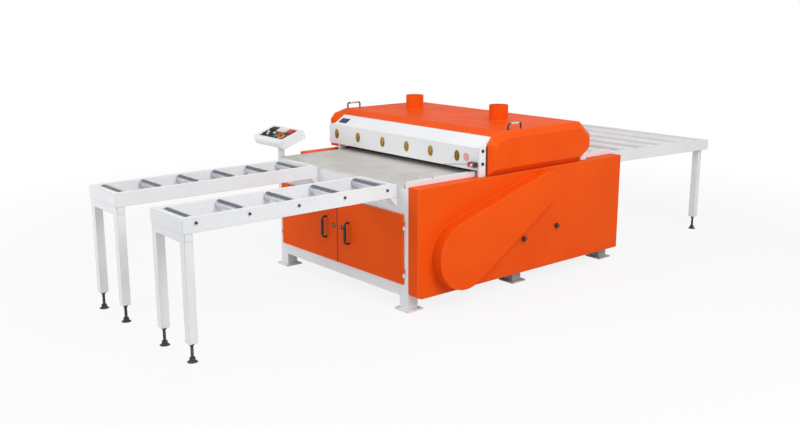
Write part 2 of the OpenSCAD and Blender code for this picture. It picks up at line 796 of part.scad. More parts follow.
module emergency_stop() color("red") place() console_frame() translate([stop_x, button_y, console_t]) {
    rod_z(0, 0, -stop_depth, stop_rise, stop_stem_d);
    translate([0, 0, stop_rise]) rotate_extrude() polygon([[0, 0], [stop_stem_d / 2, 0],
        [stop_head_d / 2, stop_head_h / 2], [stop_head_d / 2, stop_head_h * 3 / 4],
        [stop_head_d / 2 - stop_head_h / 4, stop_head_h], [0, stop_head_h]]);
}

module start_button() color("limegreen") place() console_frame() translate([start_x, button_y, console_t])
    rod_z(0, 0, -stop_depth, start_rise, start_d);

flange_gap = 2;
arbor_flange_w = 2 * (arbor_back - flange_gap);
arbor_flange_t = 22;
arbor_boss_d = 130;
arbor_boss_l = 62;
feed_flange_w = 140;
feed_flange_h = 58;
feed_flange_t = 16;
feed_boss_l = 42;
flange_r = 14;

// Flanged bearing units on the inner faces of the side plates
module shaft_bearings() color("steelblue") place() both_sides() {
    x1 = hw - side_plate_t;
    difference() {
        union() {
            prism_x(x1 - arbor_flange_t, x1) translate([arbor_y, arbor_z])
                round2d([-arbor_flange_w / 2, -arbor_flange_w / 2], [arbor_flange_w, arbor_flange_w],
                    flange_r);
            rod_x(x1 - arbor_boss_l, x1, arbor_y, arbor_z, arbor_boss_d);
        }
        rod_x(x1 - arbor_boss_l - cut, x1 + cut, arbor_y, arbor_z, arbor_d + 2 * run_gap);
    }
    for (y = feed_ys) difference() {
        union() {
            prism_x(x1 - feed_flange_t, x1) translate([y, feed_z])
                round2d([-feed_flange_w / 2, -feed_flange_h / 2], [feed_flange_w, feed_flange_h], flange_r);
            rod_x(x1 - feed_boss_l, x1, y, feed_z, feed_flange_h);
        }
        rod_x(x1 - feed_boss_l - cut, x1 + cut, y, feed_z, feed_shaft_d + 2 * run_gap);
    }
}

fin_count = 32;
fin_t = 5;
fin_h = 12;
fin_len = 270;
cowl_len = 90;
end_len = 60;
foot_pad_t = 22;
foot_spread = 254;
box_w = 120;
box_l = 150;
box_h = 70;

// Finned three-phase motor on its feet
module main_motor() color("dodgerblue") place() difference() {
    union() {
        translate([motor_left + cowl_len, motor_y, motor_z]) rotate([0, 90, 0]) linear_extrude(fin_len) {
            circle(d = motor_d);
            for (i = [0:fin_count - 1]) rotate(i * 360 / fin_count)
                translate([0, -fin_t / 2]) square([motor_d / 2 + fin_h, fin_t]);
        }
        rod_x(motor_left, motor_left + cowl_len, motor_y, motor_z, motor_d + 2 * fin_h);
        rod_x(motor_left + cowl_len + fin_len, motor_right - end_len / 2, motor_y, motor_z,
            motor_d + fin_h);
        rod_x(motor_right - end_len / 2, motor_right, motor_y, motor_z, motor_d / 2);
        for (x = motor_foot_xs) block([x - bearer_w / 2, motor_y - foot_spread / 2 - foot_pad_t, rail_top],
            [x + bearer_w / 2, motor_y + foot_spread / 2 + foot_pad_t, rail_top + foot_pad_t]);
        for (x = motor_foot_xs, side = [-1, 1]) block([x - bearer_w / 2,
            motor_y + side * foot_spread / 3 - foot_pad_t / 2, rail_top],
            [x + bearer_w / 2, motor_y + side * foot_spread / 3 + foot_pad_t / 2, motor_z]);
        block([motor_left + cowl_len + fin_h, motor_y - box_w / 2, motor_z + motor_d / 2 - fin_h],
            [motor_left + cowl_len + fin_h + box_l, motor_y + box_w / 2, motor_z + motor_d / 2 + box_h]);
    }
    rod_x(motor_right - end_len, motor_right + cut, motor_y, motor_z, motor_shaft_d + 2 * run_gap);
}

module drive_belts() color("black") place() for (i = [0:belt_count - 1]) {
    x = pulley_x + pulley_edge + belt_pitch * (i + 1 / 2) - belt_w / 2;
    prism_x(x, x + belt_w) difference() {
        loop2d(motor_belt_r() + belt_t, arbor_belt_r() + belt_t);
        loop2d(motor_belt_r(), arbor_belt_r());
    }
}

gear_w = 130;
gear_t = 95;
gear_r = 20;
gear_hub_d = 90;
gear_motor_d = 130;
gear_motor_l = 210;

// Shaft-mounted gear motors of the two feed rollers, in the left cover
module feed_drive() color("seagreen") place() for (y = feed_ys) difference() {
    union() {
        prism_x(-hw - gear_t, -hw) translate([y, feed_z])
            round2d([-gear_w / 2, -gear_w / 2], [gear_w, gear_w], gear_r);
        rod_x(-hw - gear_t - gear_r, -hw, y, feed_z, gear_hub_d);
        rod_z(-hw - gear_t / 2 - gear_r, y, feed_z - gear_w / 2 - gear_motor_l, feed_z, gear_motor_d);
    }
    rod_x(feed_left - move_gap, -hw + cut, y, feed_z, feed_shaft_d + 2 * run_gap);
    block([-hw, y - gear_w, feed_z - gear_w - gear_motor_l], [-hw + gear_motor_d, y + gear_w,
        feed_z + gear_w]);
}

// Vertical channels that guide the four head plates, closed by a floor
module head_guides() color("slategray") place() both_sides() for (y = head_ys) difference() {
    x1 = head_x + head_t + move_gap;
    block([hw, y - guide_cheek, guide_z - guide_floor_t], [x1 + guide_lip_t, y + head_d + guide_cheek,
        guide_z + guide_len]);
    block([head_x - move_gap, y - move_gap, guide_z], [x1, y + head_d + move_gap,
        guide_z + guide_len + cut]);
    block([x1 - cut, y + guide_lip, guide_z], [x1 + guide_lip_t + cut, y + head_d - guide_lip,
        guide_z + guide_len + cut]);
}

cap_t = 4;
cap_seat_l = 30;
cap_in = 56;
hood_slope = atan2(hood_top - head_top - cap_rise, hood_fold_y - head_y - cap_run);

// Folded front beam: a closed box under a sloped cap, joggled to seat the hood
module press_beam() color("white") place() {
    cap = [head_y + cap_run, head_top + cap_rise];
    step = (sheet_t + move_gap) / cos(hood_slope);
    seat = cap_seat_l * [cos(hood_slope), sin(hood_slope)];
    under = cap - [0, step + cap_t];
    x0 = -hw - head_over;
    box_top = under[1] - (cap_run - head_d) * cap_slope;
    difference() {
        prism_x(x0 + cap_in, head_x) polygon([[head_y, head_z], [head_y, head_top], cap, cap - [0, step],
            cap - [0, step] + seat, under + seat, under, [head_y + head_d, box_top], [head_y + head_d,
                head_z]]);
        prism_x(x0 + cap_in - cut, head_x - head_wall) polygon([[head_y + head_wall, head_z + head_wall],
            [head_y + head_wall, head_top - head_wall], [head_y + head_d - head_wall, box_top - head_wall],
            [head_y + head_d - head_wall, head_z + head_wall]]);
    }
    difference() {
        block([x0, head_y, head_z], [x0 + cap_in, head_y + head_d, head_top]);
        block([x0 + head_wall, head_y + head_wall, head_z + head_wall],
            [x0 + cap_in + cut, head_y + head_d - head_wall, head_top - head_wall]);
    }
}

arm_hole_d = 60;
arm_hole_shares = [0.33, 0.45, 0.57];
hinge_set_l = 24;
hood_hinge_shares = [-0.35, 0, 0.35];
hinge_arm_t = 12;
hinge_arm_drop = 4;

// Side arms between the front beam and the rear beam, with the press roller bearings
module head_arms() color("whitesmoke") place() {
    arm_len = head_rear_y - head_y - head_d;
    both_sides() difference() {
        union() {
            prism_x(arm_x - head_t / 2, arm_x + head_t / 2)
                translate([head_y + head_d, arm_z]) square([arm_len, arm_h]);
            for (y = feed_ys) rod_x(arm_x - head_t, arm_x + head_t, y, press_z, feed_d - 2 * head_t);
        }
        for (share = arm_hole_shares) rod_x(arm_x - head_t, arm_x + head_t,
            head_y + head_d + arm_len * share,
            arm_z + arm_h / 2, arm_hole_d);
        for (y = feed_ys) rod_x(arm_x - head_t - cut, arm_x + head_t + cut, y, press_z,
            feed_shaft_d + 2 * run_gap);
        rod_x(arm_x - head_t, arm_x + head_t, finger_y, finger_z, finger_shaft_d + 2 * run_gap);
    }
}

// Rear beam, head plates and hood hinge brackets
module head_frame() color("whitesmoke") place() {
    tube([-head_x, head_rear_y, rear_beam_z], [2 * head_x, head_d, rear_beam_h], 0, head_wall);
    block([head_x, head_y, guide_z + move_gap], [head_x + head_t, head_y + head_d, head_top]);
    block([-head_x - head_t, head_y, guide_z + move_gap], [-head_x, head_y + head_d, head_z]);
    both_sides() block([head_x, head_rear_y, guide_z + move_gap],
        [head_x + head_t, head_rear_y + head_d, rear_beam_z + rear_beam_h]);
    for (share = hood_hinge_shares) translate([hood_mid + share * base_w, 0, 0]) difference() {
        union() {
            prism_x(-hinge_set_l / 2, hinge_set_l / 2) polygon([[head_rear_y + hinge_arm_t, rear_beam_z],
                [head_rear_y + head_d, rear_beam_z], [head_rear_y + head_d, rear_beam_z - hinge_arm_drop],
                [hood_hinge_y, rear_beam_z - hinge_arm_drop], [hood_hinge_y,
                    rear_beam_z - hinge_arm_drop - hinge_arm_t],
                [head_rear_y + hinge_arm_t, rear_beam_z - hinge_arm_drop - hinge_arm_t]]);
            rod_x(-hinge_set_l / 2, hinge_set_l / 2, hood_hinge_y, hood_hinge_z, hood_hinge_d);
        }
        rod_x(-hinge_set_l, hinge_set_l, hood_hinge_y, hood_hinge_z, hood_pin_d + 2 * run_gap);
    }
}

switch_x = 690;
switch_w = 58;
switch_d = 34;
switch_h = 30;
switch_rise = 24;
lever_d = 3;
lever_l = 252;
lever_tilt = 97.5;

module limit_switch() color("dimgray") place() {
    block([switch_x, head_y - switch_d, head_z + switch_rise], [switch_x + switch_w, head_y,
        head_z + switch_rise + switch_h]);
    translate([switch_x + lever_d, head_y - switch_d / 2, head_z + switch_rise + switch_h / 2])
        rotate([0, -lever_tilt, 0]) cylinder(d = lever_d, h = lever_l);
}

// Fluted roller on a through shaft
module fluted_roller(y, z, x0, x1) place() {
    translate([-feed_len / 2, y, z]) rotate([0, 90, 0]) linear_extrude(feed_len) difference() {
        circle(d = feed_d);
        for (i = [0:flute_count - 1]) rotate(i * 360 / flute_count) translate([feed_d / 2, 0])
            circle(d = flute_d);
    }
    rod_x(x0, x1, y, z, feed_shaft_d);
}

shaft_out = 3;
press_end = arm_x + head_t + shaft_out;
feed_left = -hw - gear_t - gear_r - shaft_out;
feed_right = hw + shaft_out;

module front_press_roller() color("lightsteelblue") fluted_roller(feed_front_y, press_z, -press_end,
    press_end);
module rear_press_roller() color("lightsteelblue") fluted_roller(feed_rear_y, press_z, -press_end,
    press_end);
module front_feed_roller() color("lightsteelblue") fluted_roller(feed_front_y, feed_z, feed_left,
    feed_right);
module rear_feed_roller() color("lightsteelblue") fluted_roller(feed_rear_y, feed_z, feed_left, feed_right);

finger_t = 20;
finger_pitch = 30;
finger_w = 24;
finger_clear = 9;

// Row of hanging fingers with hooked tips on one shaft
module kickback_fingers() color("gray") place() {
    rod_x(-arm_x - head_t / 2 - shaft_out, arm_x + head_t / 2 + shaft_out, finger_y, finger_z,
        finger_shaft_d);
    reach = finger_z - work_z - finger_clear;
    for (i = [0:finger_count - 1]) {
        x = (i - (finger_count - 1) / 2) * finger_pitch;
        prism_x(x - finger_t / 2, x + finger_t / 2) translate([finger_y, finger_z]) {
            circle(d = finger_w + finger_shaft_d / 2);
            polygon([[-finger_w / 2, 0], [finger_w / 2, 0], [finger_w / 2, -reach + finger_w],
                [finger_w / 4, -reach], [-finger_w / 2, -reach + finger_w / 2]]);
        }
    }
}

// Side outline of the hood, drawn in y and z
module hood2d() polygon([[hood_y, hood_z], [hood_y, hood_z + hood_front_h], [head_y + cap_run,
    head_top + cap_rise],
    [hood_fold_y, hood_top], [hood_rear_y - hood_rear_fold, hood_top], [hood_rear_y,
        hood_top - hood_rear_drop],
    [hood_rear_y, hood_top - hood_rear_drop - hood_rear_h], [hood_rear_y - hood_rear_fold, hood_z]]);

// Solid of the hood with chamfered sides, drawn in by a wall
module hood_form(wall) hull() {
    prism_x(hood_left + hood_chamfer + wall, hood_right - hood_chamfer - wall) offset(delta = -wall)
        hood2d();
    prism_x(hood_left + wall, hood_right - wall) offset(delta = -hood_edge - wall) hood2d();
}

// Gap between the front edge of the hood's sheet and the cap's fold
cap_edge_gap = 1.5;

// Outline of the hood's folded sheet, drawn in y and z
module hood_sheet2d() difference() {
    hood2d();
    offset(delta = -sheet_t) hood2d();
}

// Top sheet of the hood with the two dust openings
module hood() color("orangered") place() difference() {
    prism_x(hood_in_left, hood_in_right) intersection() {
        hood_sheet2d();
        translate([hood_fold_y, rear_lip])
            square([hood_rear_y - hood_rear_fold - hood_fold_y, hood_top - rear_lip]);
    }
    for (x = port_xs) rod_z(x, port_y, hood_top - sheet_t - cut, hood_top + cut, port_d - 2 * port_t);
}

// Front slope of the hood behind the press beam's cap, with the return at its left end
module hood_front() color("orangered") place() difference() {
    prism_x(hood_in_left, hood_in_right) intersection() {
        hood_sheet2d();
        translate([hood_y, hood_z]) square([hood_fold_y - hood_y, hood_top - hood_z]);
    }
    block([hood_in_left - cut, hood_y + sheet_t, hood_z - cut],
        [hood_in_right + cut, hood_fold_y + cut, rear_lip]);
    block([-hw - head_over + cap_in - plate_slot_gap, hood_y - cut, hood_z - cut],
        [hood_in_right + cut, head_y + cap_run + cap_edge_gap, hood_top]);
}

// Rear sheet of the hood with its hinge knuckles and their pins
module hood_rear() color("orangered") place() {
    prism_x(hood_in_left, hood_in_right) intersection() {
        hood_sheet2d();
        translate([hood_rear_y - hood_rear_fold, rear_lip]) square([hood_rear_fold, hood_top - rear_lip]);
    }
    for (share = hood_hinge_shares) translate([hood_mid + share * base_w, 0, 0]) {
        rod_x(-hinge_set_l, hinge_set_l, hood_hinge_y, hood_hinge_z, hood_pin_d);
        for (side = [-1, 1]) translate([side * (hinge_set_l + move_gap), 0, 0]) {
            rod_x(-hinge_set_l / 2, hinge_set_l / 2, hood_hinge_y, hood_hinge_z, hood_hinge_d);
            block([-hinge_set_l / 2, hood_rear_y - sheet_t, hood_hinge_z],
                [hinge_set_l / 2, hood_hinge_y + hood_hinge_d / 2, rear_lip + hood_hinge_d / 2]);
        }
    }
}

// End panels of the hood, dished by the chamfer round their border
module hood_ends() color("orangered") place() difference() {
    hood_form(0);
    hood_form(sheet_t);
    block([hood_in_left, hood_y - cut, hood_z - cut], [hood_in_right, hood_rear_y + cut, hood_top + cut]);
}

// Collars for the dust pipes, each on a foot ring on the hood's top
module dust_ports() color("orangered") place() for (x = port_xs) difference() {
    union() {
        rod_z(x, port_y, hood_top, hood_top + port_h, port_d);
        rod_z(x, port_y, hood_top, hood_top + port_foot_h, port_d + 2 * port_foot_t);
    }
    rod_z(x, port_y, hood_top - cut, hood_top + port_h + cut, port_d - 2 * port_t);
}

hood_handle_l = 120;
hood_handle_reach = 42;
hood_handle_d = 12;
hood_handle_bend = 14;
hood_handle_in = 14;
hood_handle_backs = [72, 115];
hood_handle_xs = [hood_left + hood_chamfer + hood_handle_in, hood_right - hood_chamfer - hood_handle_in];

module hood_handles() color("black") place()
    for (i = [0, 1]) translate([hood_handle_xs[i], hood_fold_y + hood_handle_backs[i], hood_top]) rotate([0, -90, 0])
    bow(hood_handle_l, hood_handle_reach, hood_handle_d, hood_handle_bend);

arbor_left = -hw + side_plate_t - shaft_out;

// Turned pulley with one groove per belt, along z from its inner face
module pulley2d(d, inner) polygon(concat([[inner, 0], [d / 2, 0]],
    [for (i = [0:belt_count - 1]) let (c = pulley_edge + belt_pitch * (i + 1 / 2)) each [[d / 2,
        c - groove_w / 2],
        [d / 2 - groove_h, c - groove_w / 2], [d / 2 - groove_h, c + groove_w / 2], [d / 2,
            c + groove_w / 2]]],
    [[d / 2, pulley_w], [inner, pulley_w]]));

// Arbor with the spacing collars between the blades and the pulley at its end
module saw_arbor() color("slategray") place() {
    rod_x(arbor_left, pulley_x + pulley_w, arbor_y, arbor_z, arbor_d);
    for (i = [0:blade_count]) rod_x(blade_x(i - 1 / 2) - (blade_pitch - blade_t)
        / 2 + (i == 0 ? blade_pitch / 2 : 0),
        blade_x(i - 1 / 2) + (blade_pitch - blade_t) / 2 - (i == blade_count ? blade_pitch / 2 : 0),
        arbor_y, arbor_z, collar_d);
    translate([pulley_x, arbor_y, arbor_z]) rotate([0, 90, 0]) rotate_extrude() pulley2d(arbor_pulley_d, 0);
}

tooth_h = 11;
tooth_lead_share = 0.28;
tooth_back_share = 0.55;
tooth_end_share = 0.97;
raker_w = 9;
raker_l = 45;
raker_count = 4;

// Toothed blade with raker slots
module blade2d() {
    step = 360 / tooth_count;
    tip = blade_d / 2;
    root = tip - tooth_h;
    difference() {
        polygon([for (i = [0:tooth_count - 1]) each [tip * [cos(i * step), sin(i * step)],
            (tip - tooth_h / 4) * [cos((i + tooth_lead_share) * step), sin((i + tooth_lead_share) * step)],
            root * [cos((i + tooth_back_share) * step), sin((i + tooth_back_share) * step)],
            root * [cos((i + tooth_end_share) * step), sin((i + tooth_end_share) * step)]]]);
        circle(d = arbor_d + 2 * run_gap);
        for (i = [0:raker_count - 1]) rotate((i + 1 / 2) * 360 / raker_count)
            translate([collar_d / 2 + raker_l, 0]) rotate(90) slot2d(raker_l, raker_w);
    }
}

module saw_blades() color("silver") place() for (i = [0:blade_count - 1])
    prism_x(blade_x(i) - blade_t / 2, blade_x(i) + blade_t / 2) translate([arbor_y, arbor_z]) blade2d();

hub_d = 90;
web_t = 16;
rim_t = 10;
web_hole_count = 5;
web_hole_share = 0.55;

module motor_pulley() color("darkslategray") place() translate([0, motor_y, motor_z]) {
    rim = motor_pulley_d / 2 - groove_h - rim_t;
    hole_r = (rim - hub_d / 2) / 2;
    translate([pulley_x, 0, 0]) rotate([0, 90, 0]) {
        rotate_extrude() pulley2d(motor_pulley_d, rim);
        cylinder(d = hub_d, h = pulley_w);
        translate([0, 0, (pulley_w - web_t) / 2]) difference() {
            cylinder(r = rim + rim_t / 2, h = web_t);
            for (i = [0:web_hole_count - 1]) rotate(i * 360 / web_hole_count)
                translate([hub_d / 2 + hole_r, 0, -cut]) cylinder(r = hole_r * web_hole_share,
                    h = web_t + 2 * cut);
        }
    }
    rod_x(motor_right - end_len + shaft_out, pulley_x + pulley_w, 0, 0, motor_shaft_d);
}

// Right-hand door: a folded tray with the upper hinge knuckles, their pins and the lock hole
module door_leaf() place() {
    y1 = -door_seat;
    y0 = y1 - door_t;
    difference() {
        block([door_gap / 2, y0, door_z0], [door_edge, y1, door_z1]);
        block([door_gap / 2 + door_sheet, y0 + door_sheet, door_z0 + door_sheet],
            [door_edge - door_sheet, y1 + cut, door_z1 - door_sheet]);
        translate([lock_x, y0 - cut, lock_z]) rotate([-90, 0, 0])
            cylinder(d = lock_stem_d + 2 * run_gap, h = door_sheet + 2 * cut);
        for (z = hinge_zs) rod_z(hinge_x, hinge_y, z - hinge_h - cut, z, hinge_d + 2 * move_gap);
    }
    for (z = hinge_zs) {
        rod_z(hinge_x, hinge_y, z, z + hinge_h, hinge_d);
        rod_z(hinge_x, hinge_y, z - hinge_h, z + hinge_h, hinge_pin_d);
        block([door_edge - door_sheet, hinge_y - hinge_d / 2, z], [hinge_x, hinge_y, z + hinge_h]);
    }
}

module door_bow() place() translate([handle_x, -door_seat - door_t, handle_z]) rotate([90, 0, -90])
    bow(handle_len, handle_reach, handle_d, handle_bend);

// Quarter-turn lock: a slotted head outside, a stem in the door and a cam behind it
module door_lock() place() translate([lock_x, -door_seat - door_t, lock_z]) rotate([-90, 0, 0]) {
    difference() {
        translate([0, 0, -move_gap - lock_head_t]) cylinder(d = lock_d, h = lock_head_t);
        block([-lock_d / 3, -lock_head_t / 4, -move_gap - lock_head_t - cut], [lock_d / 3,
            lock_head_t / 4, -lock_head_t / 2]);
    }
    translate([0, 0, -move_gap]) cylinder(d = lock_stem_d, h = door_sheet + cam_t + 2 * move_gap);
    translate([0, 0, door_sheet + move_gap]) block([-cam_w / 2, -cam_len, 0], [cam_w / 2, cam_w / 2,
        cam_t]);
}

// The left door mirrors the right one about the base centre line
module mirrored() translate([2 * mid_x, 0, 0]) mirror([1, 0, 0]) children();

module left_door() color("orangered") mirrored() door_leaf();
module left_door_handle() color("black") mirrored() door_bow();
module left_door_lock() color("silver") mirrored() door_lock();
module right_door() color("orangered") door_leaf();
module right_door_handle() color("black") door_bow();
module right_door_lock() color("silver") door_lock();

base_legs();
base_rails();
work_table();
side_guide();
right_cover();
belt_guard();
left_cover();
rear_panel();
left_infeed_frame();
right_infeed_frame();
infeed_legs();
outfeed_frame();
outfeed_legs();
levelling_feet();
roller_axles();
door_hinges();
console_post();
console_box();
shaft_bearings();
main_motor();
drive_belts();
feed_drive();
head_guides();
left_infeed_roller_1();
left_infeed_roller_2();
left_infeed_roller_3();
left_infeed_roller_4();
left_infeed_roller_5();
left_infeed_roller_6();
right_infeed_roller_1();
right_infeed_roller_2();
right_infeed_roller_3();
right_infeed_roller_4();
right_infeed_roller_5();
outfeed_roller_1();
outfeed_roller_2();
outfeed_roller_3();
outfeed_roller_4();
outfeed_roller_5();
press_beam();
head_arms();
head_frame();
limit_switch();
front_press_roller();
rear_press_roller();
kickback_fingers();
hood();
hood_front();
hood_rear();
hood_ends();
dust_ports();
hood_handles();
front_feed_roller();
rear_feed_roller();
saw_arbor();
saw_blades();
motor_pulley();
left_door();
left_door_handle();
left_door_lock();
right_door();
right_door_handle();
right_door_lock();
emergency_stop();
start_button();
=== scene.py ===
# %% [markdown]
# # Dressing a multi rip saw
# The machine arrives as a imported CAD frame: every sheet, roller, door and shaft is already there at its
# real size. Blender's job is the finish: enamel, ground steel, chrome, moulded plastic, and the small
# fittings that sit on the sheets. The frame is loaded first.

# %% Load the frame
import json
import math

import bmesh
import bpy
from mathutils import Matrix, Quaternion, Vector


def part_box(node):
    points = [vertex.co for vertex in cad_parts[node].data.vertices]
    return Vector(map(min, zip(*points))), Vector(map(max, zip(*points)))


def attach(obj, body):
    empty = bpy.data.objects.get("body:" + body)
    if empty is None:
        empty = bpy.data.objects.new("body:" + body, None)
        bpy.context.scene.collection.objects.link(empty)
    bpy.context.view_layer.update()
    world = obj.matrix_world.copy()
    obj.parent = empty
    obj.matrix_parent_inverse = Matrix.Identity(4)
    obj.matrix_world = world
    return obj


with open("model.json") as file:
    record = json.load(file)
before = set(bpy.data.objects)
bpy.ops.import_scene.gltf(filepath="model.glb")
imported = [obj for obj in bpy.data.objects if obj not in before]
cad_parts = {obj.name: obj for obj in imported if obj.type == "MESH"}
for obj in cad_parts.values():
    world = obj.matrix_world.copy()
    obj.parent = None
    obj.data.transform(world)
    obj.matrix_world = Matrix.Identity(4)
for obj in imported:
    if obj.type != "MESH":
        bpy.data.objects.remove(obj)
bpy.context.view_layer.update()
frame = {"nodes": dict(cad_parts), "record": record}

# %% [markdown]
# ## Places on the machine
# A fitter measures from the machine itself: along the front from the middle of the base, back from the
# front edge, and up from the floor, all in millimetres. One small function turns such a place into
# Blender's metres, so the numbers below read like a tape measure. Four named directions say which way a
# fitting looks.

# %% Measure from the base
BASE_MIDDLE_X = 0.04225
BASE_FRONT_Y = -0.940
MM = 0.001
TABLE_TOP = 803.0
FRONT, BACK, LEFT, RIGHT = (0, -1, 0), (0, 1, 0), (-1, 0, 0), (1, 0, 0)


def at(x, y, z):
    """A place in mm from the base's middle, its front edge and the floor, as a point in metres."""
    return Vector((BASE_MIDDLE_X + x * MM, BASE_FRONT_Y + y * MM, z * MM))


print("front edge of the table:", [round(v, 3) for v in at(0, 0, TABLE_TOP)])

# %% [markdown]
# ## The camera
# The photograph was taken from the front right and a little above the machine, with a normal lens. The
# lens follows from how fast the long roller tables shrink with distance. A very small shift brings the
# machine to the same place in the picture.

# %% Set the camera
AZIMUTH, ELEVATION = 49.753, 12.561
CAMERA_PLACE = (4.9534, -4.5483, 1.9193)
camera_data = bpy.data.cameras.new("photo_camera")
camera_data.sensor_fit = "HORIZONTAL"
camera_data.sensor_width = 36.0
camera_data.lens = 41.53
camera_data.shift_x = -0.001
camera_data.shift_y = -0.0091
camera_data.clip_end = 60.0
camera = bpy.data.objects.new("photo_camera", camera_data)
bpy.context.scene.collection.objects.link(camera)
camera.location = CAMERA_PLACE
camera.rotation_euler = (math.radians(90.0 - ELEVATION), 0.0, math.radians(AZIMUTH))
bpy.context.scene.camera = camera
bpy.context.scene.view_settings.view_transform = "Standard"
print("camera lens:", camera_data.lens, "mm")

# %% [markdown]
# ## Shader sums in plain Python
# A finish is a handful of patterns that are added, multiplied and mixed. Wiring each Math node by hand
# hides the idea, so one small class holds a socket and lets Python's own signs add the nodes. Every other
# node comes from its `node` method: the type, the settings, then what goes into the sockets.

# %% A wire that does sums
class Wire:
    """One output socket in a material; sums of wires add Math nodes to its tree."""

    def __init__(self, tree, socket=None):
        self.tree, self.socket = tree, socket

    def node(self, kind, settings, sockets, out=0):
        """Adds a node, sets its settings first and then its sockets, and gives one of its outputs."""
        made = self.tree.nodes.new("ShaderNode" + kind)
        for name, value in settings.items():
            setattr(made, name, value)
        for key, value in sockets.items():
            if isinstance(value, Wire):
                self.tree.links.new(value.socket, made.inputs[key])
            else:
                made.inputs[key].default_value = value
        return Wire(self.tree, made.outputs[out])

    def maths(self, operation, first, second):
        """Adds one Math node on two values or wires."""
        return self.node("Math", {"operation": operation, "use_clamp": False}, {0: first, 1: second})

    def __add__(self, other):
        return self.maths("ADD", self, other)

    def __radd__(self, other):
        return self.maths("ADD", other, self)

    def __sub__(self, other):
        return self.maths("SUBTRACT", self, other)

    def __rsub__(self, other):
        return self.maths("SUBTRACT", other, self)

    def __mul__(self, other):
        return self.maths("MULTIPLY", self, other)

    def __rmul__(self, other):
        return self.maths("MULTIPLY", other, self)


print("wire signs ready: + - *")

# %% [markdown]
# ## Patterns that the finishes share
# Real finishes are never even: enamel sags a little and steel keeps the grinder's lines. A few helpers give
# those patterns. All of them read Object coordinates, so a pattern stays on the metal when a door or the
# hood moves.

# %% Colour and noise helpers
def linear(red, green, blue):
    """An sRGB colour of 0 to 255 as the linear colour that a shader takes."""
    def one(value):
        share = value / 255.0
        return share / 12.92 if share <= 0.04045 else ((share + 0.055) / 1.055) ** 2.4
    return (one(red), one(green), one(blue), 1.0)


def begin(name):
    """A new material: its bare wire, its shader and the wire of its Object coordinates."""
    material = bpy.data.materials.new(name)
    material.use_nodes = True
    tree = material.node_tree
    shader = tree.nodes["Principled BSDF"]
    bare = Wire(tree)
    return material, bare, shader, bare.node("TexCoord", {}, {}, out="Object")


def stretched(bare, place, scale):
    """A place squeezed along X, Y and Z, which draws a pattern out into lines."""
    return bare.node("Mapping", {}, {"Vector": place, "Scale": scale})


def cloud(bare, place, scale, detail=3.0, rough=0.55):
    """A soft noise of 0 to 1, with a scale in lumps per metre."""
    sockets = {"Vector": place, "Scale": scale, "Detail": detail, "Roughness": rough}
    return bare.node("TexNoise", {}, sockets, out="Fac")


def between(bare, value, low, high):
    """Spreads a value so that low gives 0 and high gives 1, held at both ends."""
    return bare.node("MapRange", {"clamp": True}, {"Value": value, "From Min": low, "From Max": high})


def colours(bare, first, second, share):
    """Mixes two colours by a share of the second."""
    return bare.node("Mix", {"data_type": "RGBA"}, {0: share, 6: first, 7: second}, out=2)


def part_of(bare, place, axis):
    """One of the three coordinates of a place: X, Y or Z."""
    return bare.node("SeparateXYZ", {}, {"Vector": place}, out=axis)


print("mid grey in linear light:", round(linear(128, 128, 128)[0], 3))

# %% [markdown]
# ## Folds and relief
# Folded sheet has no sharp edge, and its folds lose their paint first; on the orange enamel the folds also
# carry a pale painted highlight.
# The Bevel node gives a rounded normal, and where that leaves the flat one there is an edge. Fine relief is
# a Bump node over the rounded normal.

# %% Fold and relief helpers
def rounded(bare, radius):
    """The surface's normal with its sharp folds rounded off to a radius."""
    return bare.node("Bevel", {"samples": 4}, {"Radius": radius})


def corner(bare, soft_normal):
    """0 on flat sheet, rising to 1 along a fold or an edge."""
    flat_normal = bare.node("NewGeometry", {}, {}, out="Normal")
    dot = {"operation": "DOT_PRODUCT"}
    facing = bare.node("VectorMath", dot, {0: soft_normal, 1: flat_normal}, out="Value")
    return between(bare, facing, 0.99, 0.80)


def feed(shader, wire, socket):
    """Plugs a wire into one of the shader's sockets."""
    wire.tree.links.new(wire.socket, shader.inputs[socket])


def relief(bare, shader, value, strength, distance, normal):
    """Sends a height pattern through a Bump node, over a softened normal, into the shader's normal."""
    sockets = {"Height": value, "Strength": strength, "Distance": distance, "Normal": normal}
    feed(shader, bare.node("Bump", {}, sockets), "Normal")


print("helpers ready for folds and relief")

# %% [markdown]
# ## Enamel
# The frame, the covers and the hood are welded sheet under thick gloss enamel. Three things make it read
# as paint and not as plastic: a very shallow orange peel in the gloss, a slow drift in the colour where
# the coat is thicker, and folds that are rounded and of another tone. On the white that tone is worn paint
# where hands and boards pass; on the orange it is a pale painted highlight along the folds. The feet under
# the cover get painted shade, darker towards the floor and patchy. Small pressings are folded more sharply,
# so they get a smaller radius.

# %% Make the enamel finishes
FOLD_RADIUS, PRESSED_RADIUS = 0.004, 0.0008
# Painted shade on the feet under the cover fades in between these heights, and along Y between these places,
# all in metres.
SHADE_TOP, SHADE_FULL = 0.13, 0.05
SAW_FRONT, SAW_REAR = (-0.85, -0.30), (1.3, 1.1)
FEET_SHADE = linear(86, 82, 66)
finishes = {}


